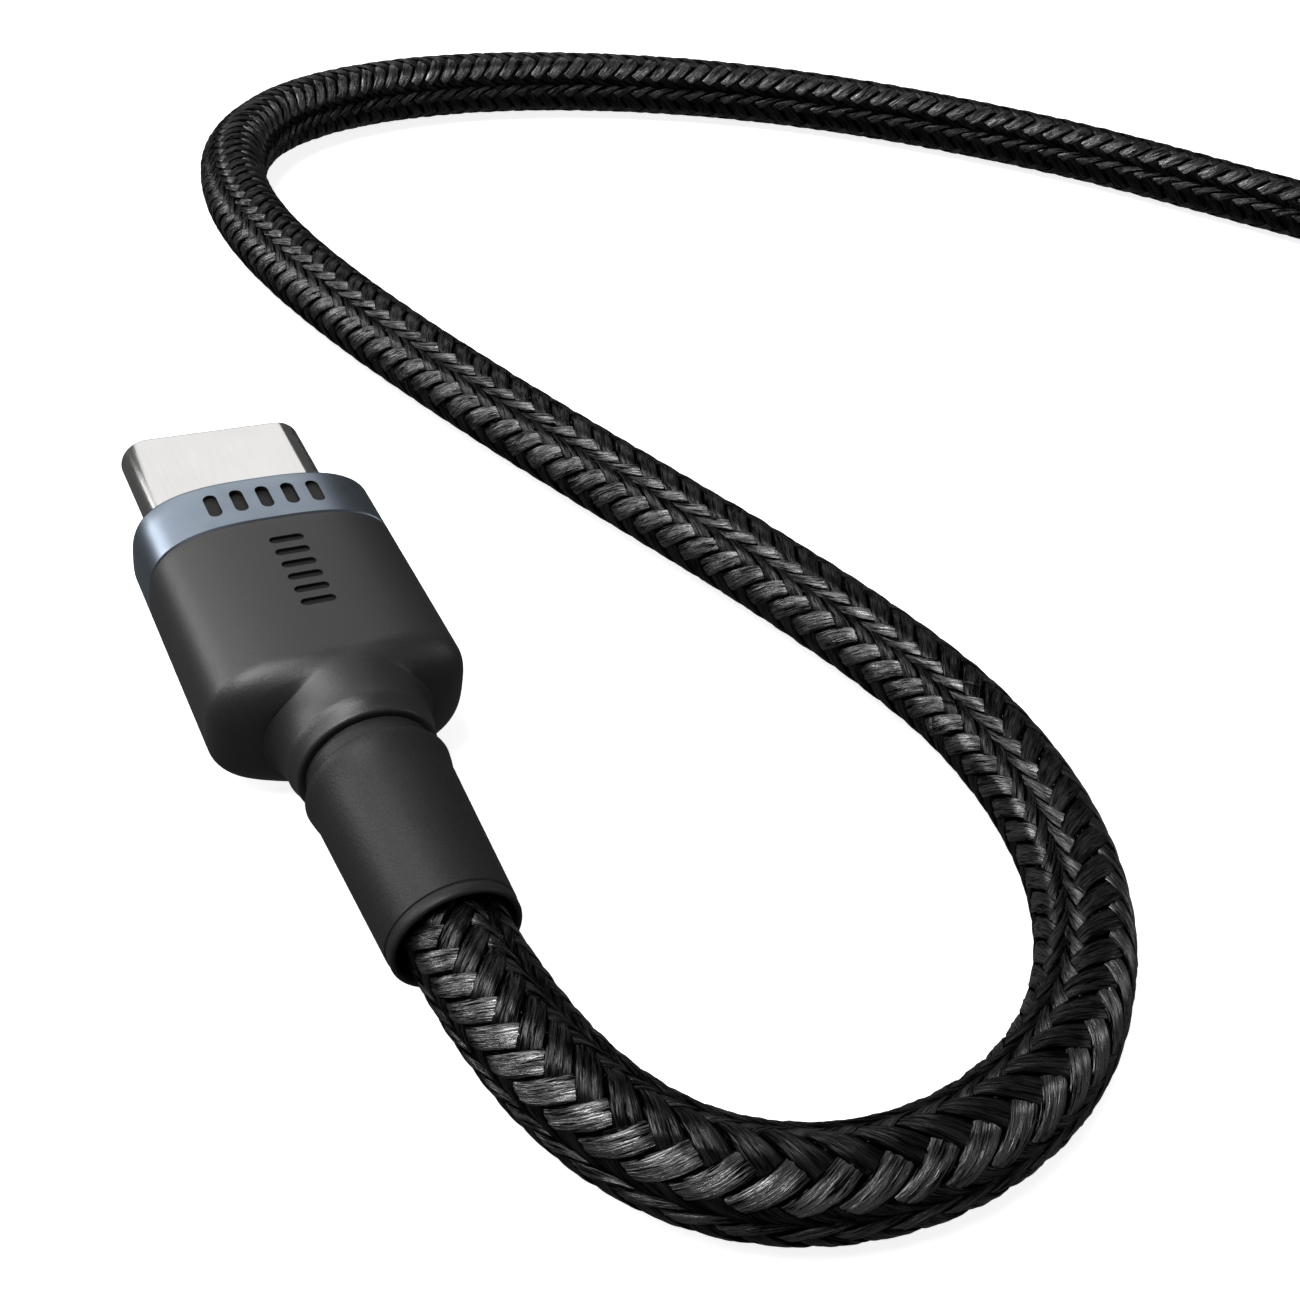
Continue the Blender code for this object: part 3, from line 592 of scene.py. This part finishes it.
def make_braid(name, line, clockwise, start, end, step, across, seed):
    """The tows that wind one way, from start to end along the cord, as closed bodies in one mesh."""
    random = np.random.default_rng(seed)
    edge = TOW_WIDTH / 2
    tops = np.linspace(-edge, edge, across + 1)
    spots = np.concatenate([tops, edge * np.array([0.55, 0.0, -0.55])])
    crown = np.concatenate([(1 - np.abs(tops / edge) ** 3.5) ** 0.7, np.zeros(3)])
    lift = TOW_CROWN * crown
    lift[-3:] = -TOW_BELLY
    known, rows = cell_rows(line.length)
    steps = round((end - start) / step)
    run = np.interp(np.linspace(start, end, steps + 1), known, rows)[:, None]
    ring = len(spots)
    corners, faces, strand, lie, shade = [], [], [], [], []
    for tow in range(TOWS):
        # A tow keeps its own number and counts the tows that it crosses in cells
        if clockwise:
            other = run + tow + 0 * spots
            row = run - spots
            cell = other + tow + spots
            swing = rounded_swing(run + 2 * tow)
        else:
            other = tow - run + 0 * spots
            row = run + spots
            cell = other + tow + spots
            swing = rounded_swing(2 * tow - run + 2)
        distance = np.clip(np.interp(row, rows, known), 0.0, line.length)
        ridges = 0
        for cycles, depth in ((3.0, 0.012), (5.0, 0.010), (8.0, 0.007)):
            phase, drift = random.uniform(0, 6.28), random.uniform(0.2, 0.6)
            ridges = ridges + depth * np.sin(2 * np.pi * cycles * spots / TOW_WIDTH + phase + drift * other)
        plump = 1 + 0.07 * np.sin(other * random.uniform(0.5, 0.9) + random.uniform(0, 6.28))
        fullness = 0.3 + 0.7 * cell_width(cell)
        groove = groove_share(cell)
        rise = (TOW_SWING * swing + ridges * crown + lift * plump) * fullness
        radius = TOW_MIDDLE_R + rise - GROOVE_DEPTH * groove
        # Painted shade: the tow's colour is darkened towards its edges and down in a groove, where shade
        # would fall
        painted_rim_shade = 1 - EDGE_SHADE * np.abs(spots / edge) ** 6
        shade.append((painted_rim_shade * (1 - GROOVE_SHADE * groove) + 0 * other).ravel())
        points = line.surface(distance, braid_angle(cell, distance), radius)
        base = tow * (steps + 1) * ring
        corners.append(points.reshape(-1, 3))
        lie.append(np.gradient(points, axis=0).reshape(-1, 3))
        number = 10.0 * tow + 200.0 * clockwise
        crosswise = spots * CELL_RUN + number + 0 * other
        strand.append(np.stack([crosswise, other * CELL_RUN, number + 0 * other], axis=-1).reshape(-1, 3))
        grid = base + np.arange((steps + 1) * ring).reshape(steps + 1, ring)
        near, far = grid[:-1], grid[1:]
        beside = [near, np.roll(near, -1, axis=1), np.roll(far, -1, axis=1), far]
        quads = np.stack(beside, axis=-1).reshape(-1, 4)
        caps = [grid[0].tolist(), grid[-1][::-1].tolist()]
        if clockwise:
            faces += quads.tolist() + [cap[::-1] for cap in caps]
        else:
            faces += quads[:, ::-1].tolist() + caps
    mesh = bpy.data.meshes.new(name)
    mesh.from_pydata((np.concatenate(corners) * MM).tolist(), [], faces)
    lie = np.concatenate(lie)
    lie /= np.linalg.norm(lie, axis=1)[:, None]
    for key, values in (("strand", np.concatenate(strand)), ("lie", lie)):
        stored = mesh.attributes.new(key, "FLOAT_VECTOR", "POINT")
        stored.data.foreach_set("vector", values.astype(np.float32).ravel())
    stored = mesh.attributes.new("shade", "FLOAT", "POINT")
    stored.data.foreach_set("value", np.concatenate(shade).astype(np.float32))
    mesh.shade_smooth()
    mesh.materials.append(LOOKS["right_braid" if clockwise else "left_braid"])
    made = bpy.data.objects.new(name, mesh)
    bpy.context.scene.collection.objects.link(made)
    return made


def make_core(line):
    """The jacket that the braid is woven over: the cord's own line."""
    curve = bpy.data.curves.new("cord_core", "CURVE")
    curve.dimensions = "3D"
    kept = line.points[::5]
    if len(line.points) % 5 != 1:
        kept = np.vstack([kept, line.points[-1]])
    spline = curve.splines.new("POLY")
    spline.points.add(len(kept) - 1)
    for place, point in zip(spline.points, kept):
        place.co = (*(point * MM), 1.0)
    curve.bevel_depth = CORE_R * MM
    curve.bevel_resolution = 4
    curve.use_fill_caps = True
    curve.materials.append(CORE_LOOK)
    made = bpy.data.objects.new("cord_core", curve)
    bpy.context.scene.collection.objects.link(made)
    return made


def make_cord():
    line = Line(cord_points())
    core = make_core(line)
    coil_middle = (COIL_START + line.length) / 2
    # (name, start, end, length of a step, points across a tow): finest where the photo is closest
    stretches = (
        ("braid_mouth", 0.0, 58.0, 0.125, 10),
        ("braid_bend", 58.0, 125.0, 0.15, 8),
        ("braid_run", 125.0, COIL_START, 0.22, 6),
        ("braid_inner_coil", COIL_START, coil_middle, 0.42, 3),
        ("braid_outer_coil", coil_middle, line.length, 0.42, 3),
    )
    braids = []
    for number, (name, start, end, step, across) in enumerate(stretches):
        for word, clockwise in (("right", True), ("left", False)):
            braids.append(make_braid(name + "_" + word, line, clockwise, start, end, step, across,
                                     10 * number + clockwise))
    return line, core, braids


# ---------------------------------------------------------------- the plugs

AROUND = 192
SHELL_A, SHELL_B, SHELL_WALL, SHELL_TIP, SHELL_REAR = 4.125, 1.2, 0.26, 6.65, -3.6
BODY_A, BODY_B, BODY_N = 5.27, 3.2, 2.9
COLLAR_REAR = -3.0
CAVITY_A, CAVITY_B, CAVITY_R, CAVITY_REAR = 4.45, 2.3, 0.8, -10.75
SHOULDER_V, SHOULDER_LENGTH = -11.15, 1.55
SHOULDER_DROP_A, SHOULDER_DROP_B = 2.45, 1.7
NECK_R, NECK_END_R, NECK_REAR, NECK_BORE = 3.0, 2.84, -14.95, 2.35
GROOVE_REAR, GROOVE_R = -15.9, 2.55
SLEEVE_FRONT_R, SLEEVE_R, SLEEVE_REAR_R, SLEEVE_BORE = 2.9, 2.76, 2.5, 2.1
SPIGOT_FRONT, SPIGOT_R = -13.2, 2.28
PARTING = 0.05
NECK_BLEND, RAMP_LENGTH = 1.3, 2.9
WALL_V, FLARE, FLARE_LENGTH = -12.3, 0.6, 1.7


def round_corner_section(a, b, radius):
    points = []
    per_corner = AROUND // 4
    for corner, (side, top) in enumerate(((1, 1), (-1, 1), (-1, -1), (1, -1))):
        for i in range(per_corner):
            turn = math.radians(90 * (corner + i / (per_corner - 1)))
            points.append((side * (a - radius) + radius * math.cos(turn),
                           top * (b - radius) + radius * math.sin(turn)))
    return points


def crowned_section(a, b, power):
    """A superellipse: a rectangle with crowned sides and soft corners."""
    points = []
    for i in range(AROUND):
        turn = 2 * math.pi * (i + 0.5) / AROUND
        across, up = math.cos(turn), math.sin(turn)
        points.append((a * math.copysign(abs(across) ** (2 / power), across),
                       b * math.copysign(abs(up) ** (2 / power), up)))
    return points


def circle_section(radius):
    return crowned_section(radius, radius, 2.0)


def rounded_edge(v, radius, towards, out, steps=5):
    """The (v, inset) steps of a rounded edge, from the end face out to the full section."""
    made = []
    for i in range(steps + 1):
        turn = math.radians(90 * i / steps)
        made.append((v + towards * radius * (1 - math.sin(turn)), radius * (1 - math.cos(turn))))
    return made[::-1] if out else made


def make_shell(name):
    inner_a, inner_b = SHELL_A - SHELL_WALL, SHELL_B - SHELL_WALL
    lip = 0.13
    steps = [(SHELL_REAR, inner_a, inner_b), (SHELL_TIP - lip, inner_a, inner_b)]
    for i in range(1, 13):
        turn = math.radians(180 - 15 * i)
        middle = SHELL_WALL / 2
        out = middle + middle * math.cos(turn)
        steps.append((SHELL_TIP - lip + lip * math.sin(turn), inner_a + out, inner_b + out))
    steps += [(v, SHELL_A, SHELL_B) for v in (4.0, 2.0, 0.0, SHELL_REAR)]
    stations = [(v, round_corner_section(a, b, b)) for v, a, b in steps]
    return hollow_loft(name, stations, [LOOKS["polished_steel"]], 40)


def make_collar(name):
    hole = round_corner_section(SHELL_A + 0.05, SHELL_B + 0.05, SHELL_B + 0.05)
    cavity = round_corner_section(CAVITY_A, CAVITY_B, CAVITY_R)
    face, soft = -0.8, 0.22
    stations = []
    for i in range(7):
        turn = math.radians(90 * i / 6)
        inset = soft * (1 - math.sin(turn))
        section = crowned_section(BODY_A - inset, BODY_B - inset, BODY_N)
        stations.append((-soft * (1 - math.cos(turn)), section))
    stations += [(v, crowned_section(BODY_A, BODY_B, BODY_N)) for v in (-1.0, -2.0, COLLAR_REAR + 0.07)]
    stations += [(COLLAR_REAR, crowned_section(BODY_A - 0.06, BODY_B - 0.06, BODY_N)), (COLLAR_REAR, cavity),
                 (face, cavity), (face, hole), (0.0, hole)]
    return hollow_loft(name, stations, [LOOKS["blue_anodised"], MARK_LOOK])


def body_section(v, a, b):
    """The body's outline here, where its shoulder and its flaring neck run into each other."""
    flare = FLARE * (1 - min(1.0, max(0.0, (WALL_V - v) / FLARE_LENGTH))) ** 2
    ramp_down = (BODY_B - NECK_R) * (1 - eased(min(1.0, (SHOULDER_V - v) / RAMP_LENGTH)))
    share = eased(min(1.0, (SHOULDER_V - v) / 0.5))
    points = []
    for i in range(AROUND):
        turn = 2 * math.pi * (i + 0.5) / AROUND
        across, up = abs(math.cos(turn)), abs(math.sin(turn))
        across, up = across ** (2 / BODY_N) * BODY_A, up ** (2 / BODY_N) * BODY_B
        size = math.hypot(across, up)
        across, up = across / size, up / size
        pillow = ((across / a) ** BODY_N + (up / b) ** BODY_N) ** (-1 / BODY_N)
        neck = NECK_R + ramp_down * up ** 2 + flare * across ** 2
        blend = max(0.01, NECK_BLEND * across)
        near = max(0.0, blend - abs(pillow - neck))
        both = max(pillow, neck) + near * near / (4 * blend)
        reach = pillow + (both - pillow) * share
        points.append((math.copysign(across * reach, math.cos(turn)),
                       math.copysign(up * reach, math.sin(turn))))
    return points


def make_body(name):
    front = COLLAR_REAR - PARTING
    stations = [(v, crowned_section(BODY_A - inset, BODY_B - inset, BODY_N))
                for v, inset in rounded_edge(front, 0.06, -1, True)]
    stations += [(v, crowned_section(BODY_A, BODY_B, BODY_N))
                 for v in np.linspace(front - 0.4, SHOULDER_V, 36)]
    for i in range(1, 31):
        turn = math.radians(90 * i / 30)
        a = BODY_A - SHOULDER_DROP_A * (1 - math.cos(turn))
        b = BODY_B - SHOULDER_DROP_B * (1 - math.cos(turn))
        v = SHOULDER_V - SHOULDER_LENGTH * math.sin(turn)
        stations.append((v, body_section(v, a, b)))
    for i in range(1, 15):
        v = SHOULDER_V - SHOULDER_LENGTH - 0.1 * i
        stations.append((v, body_section(v, 0.1, 0.1)))
    stations.append((NECK_REAR + 0.6, circle_section((NECK_R + NECK_END_R) / 2)))
    stations += [(v, circle_section(NECK_END_R - inset))
                 for v, inset in rounded_edge(NECK_REAR, 0.16, 1, False)]
    cavity = round_corner_section(CAVITY_A, CAVITY_B, CAVITY_R)
    bore = circle_section(NECK_BORE)
    stations += [(NECK_REAR, bore), (CAVITY_REAR, bore), (CAVITY_REAR, cavity), (front, cavity)]
    return hollow_loft(name, stations, [LOOKS["dark_moulding"], MARK_LOOK])


def make_sleeve(name):
    rear = SLEEVE_REAR
    steps = [(SPIGOT_FRONT, SPIGOT_R), (NECK_REAR - PARTING, SPIGOT_R), (NECK_REAR - PARTING, GROOVE_R),
             (GROOVE_REAR, GROOVE_R)]
    steps += [(v, SLEEVE_FRONT_R - inset) for v, inset in rounded_edge(GROOVE_REAR, 0.12, -1, True)]
    steps += [(GROOVE_REAR - 0.45, SLEEVE_FRONT_R - 0.05), (GROOVE_REAR - 0.9, SLEEVE_R)]
    taper = (SLEEVE_REAR_R - SLEEVE_R) / (rear - GROOVE_REAR + 0.9)
    steps += [(v, SLEEVE_R + taper * (v - GROOVE_REAR + 0.9))
              for v in np.linspace(GROOVE_REAR - 1.6, rear + 0.55, 10)]
    steps += [(rear + 0.5, SLEEVE_REAR_R - 0.035), (rear + 0.45, SLEEVE_REAR_R - 0.035)]
    lip_out, lip_in = SLEEVE_REAR_R - 0.01, 2.24
    steps.append((rear + 0.4, lip_out))
    middle, half = (lip_out + lip_in) / 2, (lip_out - lip_in) / 2
    for i in range(1, 12):
        turn = math.radians(180 * i / 12)
        steps.append((rear + 0.16 - 0.16 * math.sin(turn), middle + half * math.cos(turn)))
    steps += [(rear + 0.45, lip_in - 0.02), (rear + 1.3, SLEEVE_BORE), (SPIGOT_FRONT, SLEEVE_BORE)]
    stations = [(v, circle_section(radius)) for v, radius in steps]
    return hollow_loft(name, stations, [SLEEVE_LOOK], 40)


def bar_cutter(bars, low, high):
    """Rounded bars, each (u, v, half across, half along), as one cutter from low to high."""
    corners, faces = [], []
    for u, v, across, along in bars:
        radius = min(across, along)
        base = len(corners)
        outline = []
        for corner, (side, top) in enumerate(((1, 1), (-1, 1), (-1, -1), (1, -1))):
            for i in range(7):
                turn = math.radians(90 * corner + 15 * i)
                outline.append((u + side * (across - radius) + radius * math.cos(turn),
                                v + top * (along - radius) + radius * math.sin(turn)))
        count = len(outline)
        corners += [(x, y, low) for x, y in outline] + [(x, y, high) for x, y in outline]
        faces.append(tuple(range(base, base + count)))
        faces.append(tuple(range(base + count, base + 2 * count)))
        for i in range(count):
            j = (i + 1) % count
            faces.append((base + i, base + j, base + count + j, base + count + i))
    return new_mesh("mark_cutter", corners, faces, [MARK_LOOK])


def engrave(piece, bars, depth_w):
    """Cuts the bars into the piece's upper side, down to depth_w."""
    cutter = bar_cutter(bars, depth_w, BODY_B + 1.0)
    cut = piece.modifiers.new("marks", "BOOLEAN")
    cut.operation = "DIFFERENCE"
    cut.solver = "EXACT"
    cut.object = cutter
    cut.material_mode = "TRANSFER"
    evaluated = piece.evaluated_get(bpy.context.evaluated_depsgraph_get())
    mesh = bpy.data.meshes.new_from_object(evaluated)
    piece.modifiers.clear()
    old = piece.data
    piece.data = mesh
    bpy.data.meshes.remove(old)
    bpy.data.objects.remove(cutter)
    mesh.set_sharp_from_angle(angle=math.radians(28))


COLLAR_MARKS = [(u, -1.5, 0.28, 0.74) for u in (-2.2, -1.1, 0.0, 1.1, 2.2)]
BODY_MARKS = [(0.0, v, 0.72, 0.21) for v in np.arange(-8.6, -4.2, 0.82)]
COLLAR_MARK_DEPTH, BODY_MARK_DEPTH = 0.24, 0.15

# Each joined piece stands for several small CAD nodes that never move against each other
JOINED = {
    "contacts": ("upper_contacts", "lower_contacts"),
    "ground_springs": ("upper_ground_spring", "lower_ground_spring"),
    "circuit_card": ("paddle_card", "marker_chip", "capacitor"),
    "shield_covers": ("upper_shield_cover", "lower_shield_cover"),
    "tongue": ("contact_housing", "contact_wafer"),
    "mould_and_ferrule": ("inner_mould", "crimp_ferrule"),
    "cores": ("power_wire", "ground_wire", "configuration_wire", "data_plus_wire", "data_minus_wire"),
}


def slot_of(cad_node):
    return next(p["material_slot"] for p in frame["record"]["subparts"] if p["node"] == cad_node)


def join_nodes(side, name, members):
    """One piece with the shapes of several CAD nodes, each with its own finish."""
    whole = bmesh.new()
    finishes = []
    for member in members:
        part = bmesh.new()
        part.from_mesh(frame["nodes"][side + "_" + member].data)
        for face in part.faces:
            face.material_index = len(finishes)
        mesh = bpy.data.meshes.new("part")
        part.to_mesh(mesh)
        part.free()
        whole.from_mesh(mesh)
        bpy.data.meshes.remove(mesh)
        finishes.append(LOOKS[slot_of(side + "_" + member)])
    mesh = bpy.data.meshes.new(side + "_" + name)
    whole.to_mesh(mesh)
    whole.free()
    for finish in finishes:
        mesh.materials.append(finish)
    made = bpy.data.objects.new(side + "_" + name, mesh)
    bpy.context.scene.collection.objects.link(made)
    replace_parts(made, *(side + "_" + member for member in members))
    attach(made, "cable")
    return made


def make_plug(side):
    """A plug's fine outer pieces, in place of their CAD nodes, and its joined inner ones."""
    place = plug_place(side)
    made = []
    for part, make in (("shell", make_shell), ("collar", make_collar), ("body", make_body),
                       ("strain_relief", make_sleeve)):
        piece = make("fine_" + side + "_" + part)
        if part == "collar":
            engrave(piece, COLLAR_MARKS, BODY_B - COLLAR_MARK_DEPTH)
        if part == "body":
            engrave(piece, BODY_MARKS, BODY_B - BODY_MARK_DEPTH)
        piece.matrix_world = place
        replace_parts(piece, side + "_" + part)
        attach(piece, "cable")
        made.append(piece)
    for name, members in JOINED.items():
        made.append(join_nodes(side, name, members))
    return made


# ---------------------------------------------------------------- the coil's tie


def tie_outline(gap):
    """The coil's section as the tie sees it, this far out from it: (radius, height) round its corners."""
    low, high = CORD_R, CORD_R + LAYER_RISE
    reach = CORD_R + gap
    corners = ((TURN_RADII[2], low, 180, 270), (TURN_RADII[0], low, 270, 390), (TURN_RADII[4], high, 30, 90),
               (TURN_RADII[3], high, 90, 150), (TURN_RADII[2], low, 150, 180))
    points = []
    for radius, height, start, end in corners:
        for angle in np.arange(start, end + 0.1, 7.5):
            turn = math.radians(angle)
            points.append((radius + reach * math.cos(turn), height + reach * math.sin(turn)))
    return points


def make_tie():
    """A hook-and-loop strap: once round the coil's section, then doubled over its outer and upper sides."""
    line = tie_outline(TIE_GAP + TIE_T / 2)
    spans = np.linalg.norm(np.diff(np.array(line), axis=0), axis=1)
    run = np.concatenate([[0.0], np.cumsum(spans)])
    once = float(run[-1])
    total = once + TIE_OVERLAP
    steps, across = 150, 26
    random = np.random.default_rng(7)
    lumps = random.normal(0.0, 1.0, (steps + 1, across + 1))
    corners, faces = [], []
    for level in (1, 0):
        for i in range(steps + 1):
            walked = total * i / steps
            at = (TIE_BEGIN + walked) % once
            radius, height = (float(np.interp(at, run, [p[k] for p in line])) for k in (0, 1))
            ahead = (at + 0.05) % once
            next_r, next_h = (float(np.interp(ahead, run, [p[k] for p in line])) for k in (0, 1))
            size = max(math.hypot(next_r - radius, next_h - height), 1e-6)
            out = ((next_h - height) / size, -(next_r - radius) / size)
            doubled = eased(min(1.0, max(0.0, (walked - once + TIE_STEP_UP) / TIE_STEP_UP))) * TIE_T
            for k in range(across + 1):
                share = 2 * k / across - 1
                thin = (1 - abs(share) ** 8) ** 0.5
                reach = (level - 0.5) * TIE_T * (0.35 + 0.65 * thin) + doubled
                reach += TIE_PILE * lumps[i, k] * (level == 1)
                r, h = radius + out[0] * reach, height + out[1] * reach
                angle = TIE_ANGLE + math.degrees(share * TIE_WIDTH / 2 / r)
                corners.append(coil_point(angle, r, h))
    layer = (steps + 1) * (across + 1)
    row = across + 1
    for i in range(steps):
        for k in range(across):
            a = i * row + k
            faces.append((a, a + 1, a + row + 1, a + row))
            faces.append((layer + a, layer + a + row, layer + a + row + 1, layer + a + 1))
        for a in (i * row, i * row + across):
            faces.append((a, a + row, layer + a + row, layer + a))
    for k in range(across):
        for a in (k, steps * row + k):
            faces.append((a, layer + a, layer + a + 1, a + 1))
    tie = new_mesh("coil_tie", corners, faces, [LOOKS["strap"]], 50)
    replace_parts(tie, "cord_tie")
    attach(tie, "cable")
    return tie


# ---------------------------------------------------------------- stage


def make_camera():
    data = bpy.data.cameras.new("camera")
    data.lens, data.sensor_width = LENS, SENSOR
    data.clip_start, data.clip_end = 0.002, 10.0
    camera = bpy.data.objects.new("camera", data)
    heading, dip, roll = (math.radians(a) for a in (CAMERA_HEADING, CAMERA_DIP, CAMERA_ROLL))
    forward = Vector((math.sin(heading) * math.cos(dip), math.cos(heading) * math.cos(dip), -math.sin(dip)))
    level = Vector((math.cos(heading), -math.sin(heading), 0.0))
    above = level.cross(forward)
    right = level * math.cos(roll) + above * math.sin(roll)
    up = above * math.cos(roll) - level * math.sin(roll)
    turn = Matrix((right, up, -forward)).transposed().to_4x4()
    camera.matrix_world = Matrix.Translation(Vector(CAMERA_AT) * MM) @ turn
    bpy.context.scene.collection.objects.link(camera)
    bpy.context.scene.camera = camera


def make_floor():
    """A round floor that curves up, far away, into a pale wall."""
    flat, bend, wall = 2.0, 1.2, 2.5
    profile = [(0.0, 0.0), (0.5, 0.0), (1.2, 0.0), (flat, 0.0)]
    for i in range(1, 13):
        turn = math.radians(90 * i / 12)
        profile.append((flat + bend * math.sin(turn), bend * (1 - math.cos(turn))))
    profile.append((flat + bend, bend + wall))
    around = 96
    corners, faces = [(0.0, 0.0, 0.0)], []
    for reach, height in profile[1:]:
        for i in range(around):
            turn = 2 * math.pi * i / around
            corners.append((reach * math.cos(turn), reach * math.sin(turn), height))
    for i in range(around):
        faces.append((0, 1 + i, 1 + (i + 1) % around))
    for ring in range(len(profile) - 2):
        low, high = 1 + ring * around, 1 + (ring + 1) * around
        for i in range(around):
            j = (i + 1) % around
            faces.append((low + i, high + i, high + j, low + j))
    mesh = bpy.data.meshes.new("floor")
    mesh.from_pydata(corners, [], faces)
    mesh.shade_smooth()
    made, tree, shader = new_material("pale_floor")
    shader.inputs["Base Color"].default_value = (0.9, 0.9, 0.9, 1.0)
    shader.inputs["Roughness"].default_value = 0.9
    shader.inputs["Specular IOR Level"].default_value = 0.0
    shader.inputs["Emission Color"].default_value = (1.0, 1.0, 1.0, 1.0)
    shader.inputs["Emission Strength"].default_value = 0.85
    mesh.materials.append(made)
    floor = bpy.data.objects.new("floor", mesh)
    floor.visible_glossy = False
    floor.visible_diffuse = False
    bpy.context.scene.collection.objects.link(floor)


def make_light(name, direction, distance, size, power, aim=(20.0, 0.0, 0.0)):
    """A soft panel in a direction (heading right of +Y, height in degrees), aimed at a point in mm."""
    data = bpy.data.lights.new(name, "AREA")
    data.shape = "RECTANGLE"
    data.size, data.size_y = size
    data.energy = power
    light = bpy.data.objects.new(name, data)
    heading, height = (math.radians(a) for a in direction)
    target = Vector(aim) * MM
    level = math.cos(height)
    away = Vector((math.sin(heading) * level, math.cos(heading) * level, math.sin(height)))
    light.location = target + away * distance
    light.rotation_euler = (-away).to_track_quat("-Z", "Y").to_euler()
    bpy.context.scene.collection.objects.link(light)


def make_lights():
    make_light("top_left_panel", (-76.0, 64.0), 1.0, (0.6, 0.6), 7.8)
    make_light("back_panel", (-6.0, 33.0), 0.9, (1.04, 0.4), 1.35)
    make_light("left_strip", (-50.0, 17.0), 0.8, (0.3, 0.3), 1.5)
    make_light("right_strip", (100.0, 20.0), 0.8, (0.12, 0.4), 0.3)
    world = bpy.data.worlds.new("studio")
    world.use_nodes = True
    background = world.node_tree.nodes["Background"]
    background.inputs["Color"].default_value = (1.0, 1.0, 1.0, 1.0)
    background.inputs["Strength"].default_value = 0.08
    bpy.context.scene.world = world
    bpy.context.scene.view_settings.view_transform = "Standard"


# ---------------------------------------------------------------- all of it


def dress_cad_nodes():
    """The CAD nodes that stay shown get the finish of their slot."""
    for name, piece in frame["nodes"].items():
        if not piece.hide_render:
            piece.data.materials.clear()
            piece.data.materials.append(LOOKS[slot_of(name)])


def main():
    make_camera()
    line, core, braids = make_cord()
    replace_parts(core, "cord", "cord_coil", "cord_far_end")
    for piece in (core, *braids):
        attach(piece, "cable")
    tie = make_tie()
    make_plug("near")
    far_pieces = make_plug("far")
    dress_cad_nodes()
    make_floor()
    make_lights()


main()
